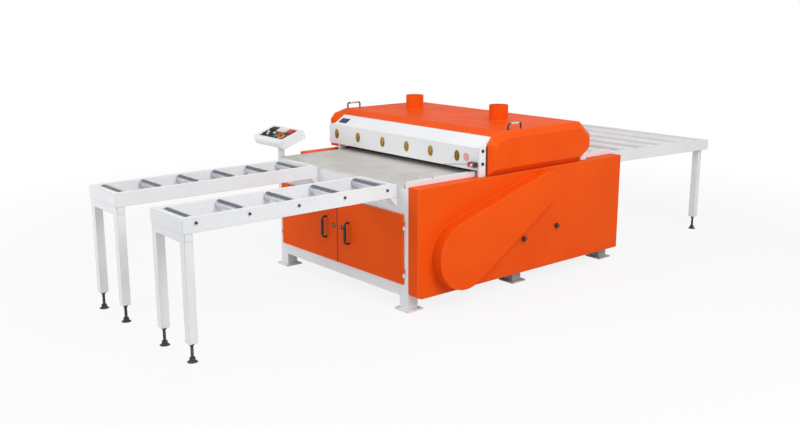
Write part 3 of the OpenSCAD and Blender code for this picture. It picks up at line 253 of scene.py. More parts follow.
def enamel(finish, name, coat, thin, fold_wear_and_highlight, gloss, feet_shade_share, mirror, edge=FOLD_RADIUS):
    """Enamel: coat is the paint, thin where thinner, then the fold colour (worn paint on white, painted
    highlight on orange) and the share of painted shade on the feet; edge is the folds' radius.
    """
    material, bare, shader, place = begin(name)
    soft = rounded(bare, edge)
    drift = cloud(bare, place, 2.3)
    paint = colours(bare, linear(*coat), linear(*thin), between(bare, drift, 0.35, 0.70))
    fold = corner(bare, soft)
    fold_patchiness = between(bare, cloud(bare, place, 55.0, 5.0, 0.65), 0.52, 0.66)
    # The fold colour: worn paint on the white, a pale painted highlight along the edges on the orange.
    paint = colours(bare, paint, linear(*fold_wear_and_highlight), fold * (0.65 + 0.35 * fold_patchiness))
    along, height = part_of(bare, place, "Y"), part_of(bare, place, "Z")
    # Painted shade: the feet under the cover are darkened towards the floor, in patches of a noise.
    low = between(bare, height, SHADE_TOP, SHADE_FULL)
    low = low * between(bare, along, *SAW_FRONT) * between(bare, along, *SAW_REAR)
    shade_patches = between(bare, cloud(bare, place, 18.0, 5.0, 0.7), 0.40, 0.75)
    paint = colours(bare, paint, FEET_SHADE, low * (0.5 + 0.5 * shade_patches) * feet_shade_share)
    feed(shader, paint, "Base Color")
    smear = between(bare, cloud(bare, stretched(bare, place, (3.0, 3.0, 9.0)), 2.0, 4.0), 0.35, 0.75)
    feed(shader, gloss + 0.10 * smear + 0.12 * fold * fold_patchiness + 0.2 * low * shade_patches, "Roughness")
    shader.inputs["Specular IOR Level"].default_value = mirror
    peel = cloud(bare, place, 260.0, 2.0) + 0.35 * cloud(bare, place, 40.0, 2.0)
    relief(bare, shader, peel, 0.06, 0.001, soft)
    finishes[finish] = material


ORANGE, THIN_ORANGE = (233, 84, 10), (227, 78, 8)
# The third colour is the folds': worn grey paint on the white, a pale painted highlight on both oranges.
enamel("white_paint", "white_enamel", (229, 230, 232), (222, 224, 227), (188, 184, 178), 0.34, 0.75, 0.35)
enamel("orange_paint", "orange_enamel", ORANGE, THIN_ORANGE, (255, 172, 98), 0.44, 0.25, 0.08)
enamel("orange_pressing", "orange_pressing", ORANGE, THIN_ORANGE, (240, 110, 40), 0.44, 0.0, 0.08,
       PRESSED_RADIUS)
print("enamels:", ", ".join(finishes))

# %% [markdown]
# ## Ground and turned steel
# The table was surface ground, which leaves fine straight lines across it. Rollers and shafts were
# turned, so their lines run round the axis. Both are the same recipe: a noise drawn out along the tool's
# path, in the roughness and a hair-deep bump, with a slow stain underneath. The outfeed rollers, which are
# grey in the record, are plain zinc tube, paler and duller than the chromed ones.

# %% Make the bare steels
def steel(finish, name, bright, stained, lines, gloss, stain_share, metal=1.0):
    """Bare metal: lines is the squeeze of the tool marks along X, Y and Z."""
    material, bare, shader, place = begin(name)
    marks = cloud(bare, stretched(bare, place, lines), 1.0, 3.0, 0.6)
    stain = between(bare, cloud(bare, place, 6.0, 5.0, 0.6), 0.42, 0.72)
    stain_and_marks = stain * stain_share + 0.35 * between(bare, marks, 0.45, 0.65)
    feed(shader, colours(bare, linear(*bright), linear(*stained), stain_and_marks), "Base Color")
    feed(shader, gloss + 0.16 * between(bare, marks, 0.3, 0.7) + 0.12 * stain, "Roughness")
    shader.inputs["Metallic"].default_value = metal
    relief(bare, shader, marks, 0.12, 0.0006, rounded(bare, 0.0012))
    finishes[finish] = material


def even(scale):
    """Marks with no direction."""
    return (scale, scale, scale)


ACROSS, ROUND_X, GROUND_DISC = (3.0, 420.0, 420.0), (260.0, 3.0, 3.0), (3.0, 300.0, 300.0)
steel("table_steel", "ground_table", (224, 222, 218), (190, 186, 178), ACROSS, 0.34, 0.55, 0.55)
steel("roller_chrome", "chromed_roller", (222, 226, 231), (156, 160, 168), ROUND_X, 0.16, 0.45)
steel("grey_paint", "zinc_tube", (226, 227, 229), (198, 200, 204), ROUND_X, 0.34, 0.4, 0.0)
steel("turned_steel", "turned_shaft", (150, 152, 155), (96, 92, 88), ROUND_X, 0.30, 0.5)
steel("blade_steel", "blade_plate", (196, 197, 200), (140, 138, 136), GROUND_DISC, 0.28, 0.4)
steel("dark_steel", "blackened_steel", (86, 80, 74), (52, 46, 42), even(60.0), 0.42, 0.6, 0.8)
steel("lock_chrome", "lock_chrome", (222, 222, 224), (160, 162, 166), even(90.0), 0.14, 0.3)
print("enamels and steels:", len(finishes))

# %% [markdown]
# ## Castings, rubber and plastic
# The motor, the gear boxes and the pulleys are sand castings, so their paint lies over a coarse skin.
# Handles and switch boxes are moulded with a fine grain, and the belts are matt rubber with chalky sides.
# One recipe serves all of them: a grain of the right size in the bump, and a second colour that gathers
# in patches of a slower noise.

# %% Make the moulded and cast finishes
RUBBED_GREY = linear(128, 122, 116)


def moulded(finish, name, skin, hollow, grain, depth, gloss, coat=0.0):
    """A cast or moulded skin: grain is the pattern's scale per metre, depth its height in metres."""
    material, bare, shader, place = begin(name)
    bumps = cloud(bare, place, grain, 4.0, 0.6)
    patch = between(bare, cloud(bare, place, 14.0, 4.0), 0.40, 0.70)
    soft = rounded(bare, 0.0015)
    uneven = 0.55 * patch + 0.25 * between(bare, bumps, 0.4, 0.7)
    shade = colours(bare, linear(*skin), linear(*hollow), uneven)
    shade = colours(bare, shade, RUBBED_GREY, 0.22 * corner(bare, soft) * patch)
    feed(shader, shade, "Base Color")
    feed(shader, gloss + 0.15 * patch, "Roughness")
    shader.inputs["Coat Weight"].default_value = coat
    relief(bare, shader, bumps, 0.35, depth, soft)
    finishes[finish] = material


moulded("cast_housing", "cast_housing", (92, 104, 112), (74, 84, 92), 220.0, 0.0008, 0.45)
moulded("cast_pulley", "cast_pulley", (84, 82, 80), (60, 58, 56), 260.0, 0.0006, 0.5)
moulded("motor_paint", "motor_enamel", (58, 92, 134), (46, 74, 112), 180.0, 0.0007, 0.4, 0.2)
moulded("belt_rubber", "belt_rubber", (38, 37, 36), (58, 56, 53), 400.0, 0.0004, 0.75)
moulded("black_plastic", "black_moulding", (40, 32, 30), (28, 22, 21), 900.0, 0.0002, 0.38)
moulded("red_plastic", "red_moulding", (200, 30, 24), (170, 22, 18), 700.0, 0.0002, 0.25, 0.3)
moulded("green_plastic", "green_moulding", (44, 150, 66), (34, 122, 52), 700.0, 0.0002, 0.25, 0.3)
print("finishes in all:", len(finishes))

# %% [markdown]
# ## Putting the finishes on
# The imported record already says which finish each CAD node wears, so the script reads it there and only
# swaps the imported flat material for the one made above.

# %% Paint the CAD nodes
for part in frame["record"]["subparts"]:
    node = frame["nodes"][part["node"]]
    node.data.materials.clear()
    node.data.materials.append(finishes[part["material_slot"]])

# %% [markdown]
# ## Starting a piece
# Every fitting below is made as by hand: add a primitive, pick faces, extrude, inset, bevel. Operators work
# on whatever is selected, so the selection is cleared first. A box or a rod is started with its size in
# millimetres, standing on a spot.

# %% Starting tools
def only(*pieces):
    """Leaves just these pieces selected, with the first one active."""
    bpy.ops.object.select_all(action="DESELECT")
    for piece in pieces:
        piece.select_set(True)
    bpy.context.view_layer.objects.active = pieces[0]


def start(name, primitive, **where):
    """Adds one primitive, puts its place into its mesh and opens it in edit mode."""
    bpy.ops.object.select_all(action="DESELECT")
    primitive(**where)
    piece = bpy.context.object
    piece.name = piece.data.name = name
    bpy.ops.object.transform_apply(location=True, rotation=True, scale=True)
    bpy.ops.object.mode_set(mode="EDIT")
    return piece


def box(name, size, spot=(0.0, 0.0), base=0.0, middle=None):
    """Starts a box of a size in mm, standing at a height on a spot, or round a middle in metres."""
    if middle is None:
        middle = (spot[0] * MM, spot[1] * MM, (base + size[2] / 2) * MM)
    scale = [side * MM for side in size]
    return start(name, bpy.ops.mesh.primitive_cube_add, size=1.0, location=middle, scale=scale)


def rod(name, sides, radius, depth, spot=(0.0, 0.0), base=0.0, stretch=1.0):
    """Starts an upright rod in mm, standing at a height on a spot; a stretch along Y makes it oval."""
    middle = (spot[0] * MM, spot[1] * MM, (base + depth / 2) * MM)
    return start(name, bpy.ops.mesh.primitive_cylinder_add, vertices=sides, radius=radius * MM,
                 depth=depth * MM, location=middle, scale=(1.0, stretch, 1.0))


print("starting tools ready")

# %% [markdown]
# ## Picking faces and edges
# A script has no mouse, so a face is picked by its place or by the way it looks, and an edge by its ends. A
# small test function says which ones are meant.

# %% Picking tools
# A face looks straight along an axis if its normal reaches this far along it.
STRAIGHT = 0.99
SAME_HEIGHT, SAME_SPOT = 0.05 * MM, 0.01 * MM


def pick_faces(piece, test):
    """Selects, in edit mode, only the faces whose middle and normal pass the test."""
    bpy.ops.mesh.select_mode(type="FACE")
    bpy.ops.mesh.select_all(action="DESELECT")
    mesh = bmesh.from_edit_mesh(piece.data)
    for face in mesh.faces:
        face.select_set(bool(test(face.calc_center_median(), face.normal)))
    mesh.select_flush_mode()
    bmesh.update_edit_mesh(piece.data)


def pick_edges(piece, test):
    """Selects, in edit mode, only the edges whose two ends pass the test."""
    bpy.ops.mesh.select_mode(type="EDGE")
    bpy.ops.mesh.select_all(action="DESELECT")
    mesh = bmesh.from_edit_mesh(piece.data)
    for edge in mesh.edges:
        edge.select_set(bool(test(edge.verts[0].co, edge.verts[1].co)))
    mesh.select_flush_mode()
    bmesh.update_edit_mesh(piece.data)


def top_face(piece):
    """Picks the highest face that looks straight up."""
    highest = max(vertex.co.z for vertex in bmesh.from_edit_mesh(piece.data).verts)
    pick_faces(piece, lambda middle, normal: normal.z > STRAIGHT and middle.z > highest - SAME_HEIGHT)


def underside(piece):
    """Picks every face that looks straight down."""
    pick_faces(piece, lambda middle, normal: normal.z < -STRAIGHT)


def upright(first, second):
    """True for an edge that stands straight up."""
    return (first.xy - second.xy).length < SAME_SPOT


print("picking tools ready")

# %% [markdown]
# ## Shaping
# These are the strokes themselves, with their steps in millimetres: extrude, move, scale, inset, bevel and
# bridge. The last one closes a piece, with its faces turned outwards.

# %% Shaping tools
SMOOTH_ANGLE = math.radians(32.0)


def push(x=0.0, y=0.0, z=0.0):
    """Extrudes the picked faces by a step in mm."""
    bpy.ops.mesh.extrude_region_move(TRANSFORM_OT_translate={"value": (x * MM, y * MM, z * MM)})


def shift(x=0.0, y=0.0, z=0.0):
    """Moves what is picked by a step in mm."""
    bpy.ops.transform.translate(value=(x * MM, y * MM, z * MM))


def scale_across(share, **about):
    """Scales what is picked across X and Y."""
    bpy.ops.transform.resize(value=(share, share, 1.0), **about)


def draw_in(width, depth=0.0):
    """Insets the picked faces by a width in mm, and raises what is inside by a depth."""
    bpy.ops.mesh.inset(thickness=width * MM, depth=depth * MM)


def step_in(piece, width, depth=0.0):
    """Draws a picked top in by a width in mm, by scale, so that its rounded corners stay round."""
    spots = [vertex.co for vertex in bmesh.from_edit_mesh(piece.data).verts if vertex.select]
    across, along = (max(s[axis] for s in spots) - min(s[axis] for s in spots) for axis in (0, 1))
    push(z=depth)
    both_sides = 2.0 * width * MM
    bpy.ops.transform.resize(value=(1.0 - both_sides / across, 1.0 - both_sides / along, 1.0))


def round_over(width, steps=2):
    """Bevels the picked edges by a width in mm."""
    bpy.ops.mesh.bevel(offset=width * MM, segments=steps, affect="EDGES")


def round_corners(piece, radius, steps=3):
    """Rounds a box's four upright corners."""
    pick_edges(piece, upright)
    round_over(radius, steps)


def bore_through(piece):
    """Joins the two end faces that lie across the z axis by a tunnel."""
    pick_faces(piece, lambda middle, normal: abs(normal.z) > STRAIGHT and middle.xy.length < SAME_SPOT)
    bpy.ops.mesh.bridge_edge_loops()


def close(piece):
    """Goes back to object mode, with the normals outwards and gentle edges smooth."""
    bpy.ops.mesh.select_all(action="SELECT")
    bpy.ops.mesh.normals_make_consistent(inside=False)
    bpy.ops.object.mode_set(mode="OBJECT")
    only(piece)
    bpy.ops.object.shade_smooth_by_angle(angle=SMOOTH_ANGLE)
    return piece


print("shaping tools ready")

# %% [markdown]
# ## Setting out
# A fitting that repeats is modelled once at the origin, looking up, and then copied out to its places like
# screws from a box. Each copy's place and turn go into its own mesh.

# %% Setting-out tools
def join(name, *pieces):
    """Makes one named piece of several."""
    only(*pieces)
    if len(pieces) > 1:
        bpy.ops.object.join()
    pieces[0].name = pieces[0].data.name = name
    return pieces[0]


def set_out(model, name, places, facing=(0.0, 0.0, 1.0), roll=0.0):
    """Copies a fitting from the origin to each place, turned to face a way, and joins the copies."""
    tip = Vector((0.0, 0.0, 1.0)).rotation_difference(Vector(facing))
    turn = (tip @ Quaternion((0.0, 0.0, 1.0), roll)).to_euler()
    copies = []
    for place in places:
        only(model)
        bpy.ops.object.duplicate(linked=False)
        copies.append(bpy.context.object)
        copies[-1].location, copies[-1].rotation_euler = place, turn
        bpy.ops.object.transform_apply(location=True, rotation=True, scale=True)
    return join(name, *copies)


def fit(piece, body, finish):
    """Paints a piece and hangs it on the body that carries it."""
    piece.data.materials.clear()
    piece.data.materials.append(finishes[finish])
    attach(piece, body)
    print(piece.name, "on", body, "faces:", len(piece.data.polygons))


def scrap(*models):
    """Throws away models whose copies are all set out."""
    for model in models:
        bpy.data.objects.remove(model, do_unlink=True)


print("setting-out tools ready")

# %% [markdown]
# ## Three fasteners
# The machine is held together by a few kinds of screw, so each is modelled once. The bolt has a washer
# and a six-sided head with a chamfered crown. The flat screw is a cone with a socket sunk into it, made to
# fill the table's countersinks. The dome screw is a low button with a round recess, in two sizes. Modelled
# heads catch the light at their edges, which a painted dot never does.

# %% Model the fasteners
# A hexagon's radius to its corners, as a share of its width across the flats.
HEXAGON_SHARE = 0.577


def make_bolt(across, head, washer):
    """A hexagon head with a chamfered crown on a round washer, standing on z = 0."""
    disc = rod("bolt_washer", 28, washer, 2.0)
    top_face(disc)
    draw_in(0.8, 0.5)
    close(disc)
    crown = rod("bolt_crown", 6, across * HEXAGON_SHARE, head, base=2.4)
    top_face(crown)
    draw_in(1.3, 0.8)
    draw_in(across * 0.24, -0.5)
    close(crown)
    return join("bolt", crown, disc)


def make_flat_screw(radius, socket, depth):
    """A countersunk head whose rim is at z = 0, with a sunk socket and a short shank."""
    head = rod("flat_screw", 24, radius, depth, base=-depth)
    underside(head)
    scale_across(0.5)
    push(z=-8.0)
    top_face(head)
    draw_in(radius - socket)
    push(z=-0.6 * depth)
    scale_across(0.8)
    return close(head)


def make_dome_screw(radius, rise):
    """A button head on z = 0, rounded in two steps, with a shallow round recess."""
    dome = rod("dome_screw", 20, radius, rise * 0.5)
    top_face(dome)
    draw_in(radius * 0.22, rise * 0.32)
    draw_in(radius * 0.34, rise * 0.18)
    push(z=-rise * 0.4)
    return close(dome)


bolt = make_bolt(across=17.0, head=6.4, washer=11.0)
flat_screw = make_flat_screw(radius=8.1, socket=3.4, depth=4.4)
dome_screw = make_dome_screw(radius=5.0, rise=3.4)
small_screw = make_dome_screw(radius=2.6, rise=2.0)
print("fasteners:", bolt.name, flat_screw.name, dome_screw.name)

# %% [markdown]
# ## Screws in the table
# The ground table is screwed down to the frame and the edge guide to the table, all from above. The
# table's screws sit in the CAD model's own countersinks, a hair below the surface so that a board slides
# over them. The guide's are low buttons on its top.

# %% Drive the table screws
steel("screw_steel", "screw_steel", (74, 72, 70), (44, 42, 40), even(200.0), 0.34, 0.5)
BASE_LENGTH, SCREW_X, SCREW_SINK = 1990.0, 543.6, 0.4
GUIDE_X, GUIDE_TOP = 700.0, 827.0
SCREW_ROWS = [BASE_LENGTH * share for share in (0.11, 0.27, 0.70, 0.89)]
table_places = [at(x, y, TABLE_TOP - SCREW_SINK) for x in (-SCREW_X, SCREW_X) for y in SCREW_ROWS]
fit(set_out(flat_screw, "table_screws", table_places), "machine", "screw_steel")
guide_places = [at(GUIDE_X, y, GUIDE_TOP) for y in SCREW_ROWS]
fit(set_out(dome_screw, "guide_screws", guide_places), "machine", "screw_steel")

# %% [markdown]
# ## The press beam's bosses
# Six cast brass bosses stand in a row on the white beam, each a raised oval with a sunk border. A rod
# stretched to an oval gives the outline, and insets and extrusions give the border, the groove and the
# crowned middle.

# %% Make the beam bosses
BEAM_FRONT = 565.0
steel("cast_brass", "cast_brass", (176, 138, 62), (96, 70, 30), even(120.0), 0.30, 0.8)
boss = rod("brass_boss", 56, 22.0, 4.0, stretch=1.62)
top_face(boss)
draw_in(1.2, 1.0)
draw_in(3.2)
push(z=-2.2)
draw_in(3.0)
push(z=2.6)
draw_in(3.0, 1.6)
draw_in(4.0, 0.9)
close(boss)
boss_places = [at(x, BEAM_FRONT, 915.0) for x in (-777.0, -513.0, -223.0, 43.0, 295.0, 556.0)]
fit(set_out(boss, "beam_bosses", boss_places, FRONT), "press_head", "cast_brass")

# %% [markdown]
# ## Two blank plates
# Beside the bosses sits a plain round disc and, on the slope above, a plain blue plate. Both are thin, so
# one inset and one push down leave a raised border.

# %% Make the blank plates
moulded("plate_rose", "plate_rose", (226, 158, 162), (210, 138, 144), 300.0, 0.0002, 0.35)
disc = rod("blank_disc", 48, 27.0, 1.2)
top_face(disc)
draw_in(1.0, 0.5)
draw_in(3.0)
push(z=-0.4)
close(disc)
fit(set_out(disc, "beam_blank_disc", [at(644.0, BEAM_FRONT, 917.0)], FRONT), "press_head", "plate_rose")

plate = box("blank_plate", (96.0, 52.0, 1.6))
round_corners(plate, 6.0)
top_face(plate)
step_in(plate, 2.0)
push(z=-0.5)
close(plate)
moulded("plate_blue", "plate_blue", (70, 66, 104), (52, 48, 84), 300.0, 0.0002, 0.35)
SLOPE_UP = Vector((0.0, -66.0, 105.0)).normalized()
plate_places = [at(-740.0, 610.7, 1013.7)]
fit(set_out(plate, "beam_blank_plate", plate_places, SLOPE_UP), "press_head", "plate_blue")
scrap(boss, disc, plate)

# %% [markdown]
# ## The beam's right end
# The sloped sheet on the beam stops short of the end plate, so a folded cap closes the step. It is a box
# whose rear top edge is lifted up the slope and whose front top edge is let down to the beam. Two bolts
# hold the end plate below it.

# %% Cap the beam's end
CAP_TOP = 990.0 * MM
cap_middle_y, end_face_x = at(0, 600.0, 0).y, at(760.0, 0, 0).x
end_cap = box("beam_end_cap", (14.9, 60.0, 10.0), middle=at(754.85, 595.0, 990.05))
pick_edges(end_cap, lambda a, b: min(a.z, b.z) > CAP_TOP and min(a.y, b.y) > cap_middle_y)
shift(y=44.0, z=55.3)
pick_edges(end_cap, lambda a, b: min(a.z, b.z) > CAP_TOP and max(a.y, b.y) < cap_middle_y)
shift(z=-9.8)
pick_edges(end_cap, lambda a, b: min(a.x, b.x) > end_face_x and (a - b).length > 80.0 * MM)
round_over(1.0)
close(end_cap)
fit(end_cap, "press_head", "white_paint")
end_places = [at(762.3, 595.0, z) for z in (881.0, 965.0)]
fit(set_out(bolt, "beam_end_bolts", end_places, RIGHT), "press_head", "screw_steel")

# %% [markdown]
# ## The limit switch
# A small switch box hangs on the beam's right end, with a wire feeler that the boards push up. The CAD box
# is plain, so it gets what a switch has: a lid with four screws, and a bright turning head on it.

# %% Fit the switch lid and its head
SWITCH_X, SWITCH_Z = 719.0, 877.0
lid = box("switch_lid", (54.0, 27.0, 3.0))
round_corners(lid, 4.0)
top_face(lid)
step_in(lid, 1.2, 0.8)
step_in(lid, 5.0)
push(z=-0.8)
close(lid)
lid_places = [at(SWITCH_X, 531.0, SWITCH_Z)]
fit(set_out(lid, "switch_lid", lid_places, FRONT), "press_head", "red_plastic")
screw_places = [at(SWITCH_X + x, 527.2, SWITCH_Z + z) for x in (-22.0, 22.0) for z in (-9.0, 9.0)]
lid_screws = set_out(small_screw, "switch_lid_screws", screw_places, FRONT)
fit(lid_screws, "press_head", "lock_chrome")

turret = rod("switch_turret", 32, 10.0, 5.0)
top_face(turret)
draw_in(1.2, 1.2)
draw_in(3.0)
push(z=4.0)
draw_in(1.2, 0.8)
close(turret)
turret_places = [at(731.0, 526.4, SWITCH_Z)]
fit(set_out(turret, "switch_turret", turret_places, FRONT), "press_head", "lock_chrome")
scrap(lid, turret)

# %% [markdown]
# ## Knobs on the side cover
# Two dark star knobs clamp the side cover so that it comes off without tools. A rod with many sides gets
# its lobes when the side edges between them are scaled towards the axis, in four passes. Steps crown the
# top, and a stub reaches back to the sheet.

# %% Make the star knobs
LOBES, KNOB_RADIUS, COVER_FACE = 6, 18.0, 809.0
knob = rod("star_knob", 60, KNOB_RADIUS, 15.0, base=8.0)
for limit in (0.5, 0.0, -0.5, -0.85):
    pick_edges(knob, lambda a, b: upright(a, b) and math.cos(LOBES * math.atan2(a.y, a.x)) < limit)
    scale_across(0.955, center_override=(0, 0, 0))
top_face(knob)
for width, rise in ((1.0, 1.0), (1.6, 0.8), (3.0, 0.6)):
    push(z=rise)
    scale_across(1.0 - width / KNOB_RADIUS)
underside(knob)
push(z=-1.2)
scale_across(0.5)
push(z=-6.8)
close(knob)
knob_places = [at(COVER_FACE, 953.0, 333.0), at(COVER_FACE, 1288.0, 373.0)]
fit(set_out(knob, "cover_knobs", knob_places, RIGHT), "machine", "black_plastic")
scrap(knob)

# %% [markdown]
# ## Sleeves on the hood handles
# The hood's bow handles are dark wire with a bright ribbed sleeve where the hand goes. The sleeve grows rib
# by rib: each groove is the top drawn in, pushed up and let out again. Then both ends are inset and
# bridged, which leaves a tube.

# %% Slide the sleeves on
GROOVE = 0.7


def make_sleeve(radius, bore, length, ribs):
    """A ribbed tube along z, with its middle at the origin."""
    step = length / ribs
    sleeve = rod("handle_sleeve", 28, radius, step, base=-length / 2)
    for rib in range(ribs - 1):
        top_face(sleeve)
        push(z=0.18 * step)
        scale_across((radius - GROOVE) / radius)
        push(z=0.12 * step)
        push(z=0.18 * step)
        scale_across(radius / (radius - GROOVE))
        push(z=0.52 * step)
    near_end = 0.45 * length * MM
    for end in (1, -1):
        pick_faces(sleeve, lambda middle, normal: normal.z * end > STRAIGHT and abs(middle.z) > near_end)
        draw_in(radius - bore)
    bore_through(sleeve)
    return close(sleeve)


sleeve = make_sleeve(radius=7.6, bore=6.1, length=78.0, ribs=11)
sleeve_places = [at(-933.5, 850.0, 1122.0), at(758.75, 893.0, 1122.0)]
fit(set_out(sleeve, "hood_handle_sleeves", sleeve_places, BACK), "hood", "lock_chrome")
scrap(sleeve)

# %% [markdown]
# ## Dress for the doors
# Each lock sits in a dark rosette that leaves only its bright middle showing. The door handles wear a
# stouter black grip of the same make as the hood's sleeves. The left door gets a black rubber trim along
# the edge where the two doors meet, which is painted shade standing in for the dark gap between them.

# %% Set the lock rings, the grips and the trim
DOOR_FACE, LOCK_X, LOCK_Z = -13.5, 43.0, 420.0
ring = rod("lock_ring", 40, 14.4, 4.6)
top_face(ring)
draw_in(1.4, 0.9)
draw_in(6.4)
underside(ring)
draw_in(1.8)
push(z=4.5)
draw_in(6.0)
bore_through(ring)
close(ring)
for side, x in (("left", -LOCK_X), ("right", LOCK_X)):
    rosette = set_out(ring, side + "_lock_ring", [at(x, DOOR_FACE, LOCK_Z)], FRONT)
    fit(rosette, side + "_door", "screw_steel")

DOOR_BAR_RADIUS, BAR_X, BAR_Z = 7.0, 128.0, 397.0
grip = make_sleeve(radius=10.5, bore=DOOR_BAR_RADIUS + 0.2, length=98.0, ribs=9)
for side, x in (("left", -BAR_X), ("right", BAR_X)):
    bar_y = (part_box(side + "_door_handle")[0][1] - BASE_FRONT_Y) / MM + DOOR_BAR_RADIUS
    sleeved = set_out(grip, side + "_door_grip", [at(x, bar_y, BAR_Z)])
    fit(sleeved, side + "_door", "black_plastic")
scrap(ring, grip)

# Painted shade: the black trim stands in for the dark line of shade in the gap between the doors.
trim_middle = at(-2.1, -14.3, 395.0)
gap_shade_trim = box("left_door_gap_shade", (6.8, 1.6, 447.0), middle=trim_middle)
pick_edges(gap_shade_trim, lambda a, b: upright(a, b) and a.y < trim_middle.y)
round_over(0.7)
close(gap_shade_trim)
fit(gap_shade_trim, "left_door", "belt_rubber")

# %% [markdown]
# ## Caps on the portal tubes
# The cross tube of each infeed portal is sawn off square, so its ends get pressed-in caps. A cap is a box
# with rounded corners whose top steps in twice.

# %% Cap the tubes
PORTAL_Y, TUBE_HALF, CAP_SINK = -1430.0, 25.0, 3.0
cap = box("tube_cap", (41.6, 41.6, 3.0))
round_corners(cap, 4.0)
top_face(cap)
step_in(cap, 1.5, 0.6)
step_in(cap, 6.0, 0.3)
close(cap)
bar_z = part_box("infeed_legs")[1][2] / MM - TUBE_HALF
for side, facing, ends in (("right", RIGHT, (-233.0, 613.0)), ("left", LEFT, (-613.0, 233.0))):
    places = [at(x - CAP_SINK * facing[0], PORTAL_Y, bar_z) for x in ends]
    fit(set_out(cap, side + "_tube_caps", places, facing), "machine", "white_paint")
scrap(cap)

# %% [markdown]
# ## The hood's shadow strip and lip
# A black rubber strip under the hood's right end is painted shade: it stands in for the shadow line along
# the hood's lower edge. A narrow folded lip, extruded up and back along the hood's slope, closes the gap
# beside the press beam.

# %% Close the hood's gaps
# Painted shade: this black strip stands in for the shadow under the hood's lower edge.
shadow_strip = box("hood_shadow_strip", (12.0, 886.0, 2.6), middle=at(766.4, 1095.0, 798.7))
pick_edges(shadow_strip, lambda a, b: abs(a.y - b.y) > 1 * MM)
round_over(0.8)
close(shadow_strip)
fit(shadow_strip, "hood", "belt_rubber")

LIP_TOP = 950.0 * MM
lip_front = at(0, 632.1, 0).y


def lip_edge(a, b):
    """True for the level edges along the lip's upper front."""
    return abs(a.x - b.x) > 1 * MM and min(a.y, b.y) < lip_front and min(a.z, b.z) > LIP_TOP


lip = box("hood_front_lip", (9.2, 3.0, 207.0), middle=at(768.0, 633.5, 904.0))
top_face(lip)
push(y=38.0, z=43.0)
pick_edges(lip, lip_edge)
round_over(0.8)
close(lip)
fit(lip, "hood", "orange_paint")

# %% [markdown]
# ## Louvres and screws at the back
# At the back, each air slot is hooded by a louvre: a box whose top edge is pulled down to a wedge and whose
# open side is inset and pushed in, so that air gets out and chips stay in. Button screws hold the panel,
# and small ones the door hinges at the front.

# %% Hood the slots
PANEL_Y, SLOT_X, SLOT_Z = 1993.0, 306.0, 395.0
SLOT_PITCH, SLOT_ROWS = 34.0, range(-3, 4)
louvre = box("louvre", (176.0, 20.0, 8.0), spot=(0.0, -3.0))
pick_edges(louvre, lambda a, b: min(a.z, b.z) > 7.9 * MM and max(a.y, b.y) < -12.9 * MM)
shift(z=-7.4)
pick_faces(louvre, lambda middle, normal: normal.y > STRAIGHT)
draw_in(1.2)
push(y=-12.0)
close(louvre)
slots = [at(x, PANEL_Y, SLOT_Z + SLOT_PITCH * row) for x in (-SLOT_X, SLOT_X) for row in SLOT_ROWS]
fit(set_out(louvre, "rear_louvres", slots, BACK), "machine", "orange_pressing")
panel_screws = [at(x, PANEL_Y, z) for x in (-655.0, -330.0, 0.0, 330.0, 655.0) for z in (190.0, 600.0)]
fit(set_out(dome_screw, "rear_panel_screws", panel_screws, BACK), "machine", "screw_steel")
HINGE_X, HINGE_HEIGHTS, HINGE_HALF = 692.0, (242.0, 548.0), 14.0
hinge_screws = [at(x, -1.2, z + step) for x in (-HINGE_X, HINGE_X) for z in HINGE_HEIGHTS
                for step in (-HINGE_HALF, HINGE_HALF)]
fit(set_out(small_screw, "hinge_screws", hinge_screws, FRONT), "machine", "lock_chrome")

# %% [markdown]
# ## A seam round the belt guard
# The belt guard is caulked to the side cover with a narrow bead, painted all over in the pale fold colour as
# a painted highlight line. A flat rod becomes the bead: the edges that face the arbor shrink to its radius
# and slide over to it, which leaves straight runs between the two curves. Top and bottom are inset, and the
# two middles are bridged out.

# %% Caulk the guard
GUARD_FRONT, GUARD_REAR, BEAD_PROUD = 220.0, 105.0, 3.6
MOTOR_Y, MOTOR_Z, ARBOR_Z = 335.0, 340.0, 686.0
arbor_y = (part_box("belt_guard")[1].y - BASE_FRONT_Y) / MM - GUARD_REAR
reach = Vector((MOTOR_Z - ARBOR_Z, arbor_y - MOTOR_Y, 0.0))
towards_arbor = reach.xy.normalized()
wrap = (GUARD_FRONT - GUARD_REAR) / reach.length
bead = rod("seam_bead", 120, GUARD_FRONT + BEAD_PROUD, 3.0)
pick_edges(bead, lambda a, b: upright(a, b) and a.xy.normalized().dot(towards_arbor) > wrap)
scale_across((GUARD_REAR + BEAD_PROUD) / (GUARD_FRONT + BEAD_PROUD), center_override=(0, 0, 0))
shift(reach.x, reach.y)
pick_faces(bead, lambda middle, normal: abs(normal.z) > STRAIGHT)
draw_in(3.3)
bpy.ops.mesh.bridge_edge_loops()
close(bead)
# The bead is narrower than the enamel's fold radius, so it takes the pale fold colour all over: a painted
# highlight line round the guard.
seam = set_out(bead, "guard_seam", [at(COVER_FACE, MOTOR_Y, MOTOR_Z)], RIGHT)
fit(seam, "machine", "orange_paint")
scrap(bead)

# %% [markdown]
# ## The left cover's hatch
# The left cover gets a pressed hatch, which is a rounded sheet with a raised field, and the same louvres as
# the back, turned so that they lie level. Button screws hold the hatch and the cover's edge.

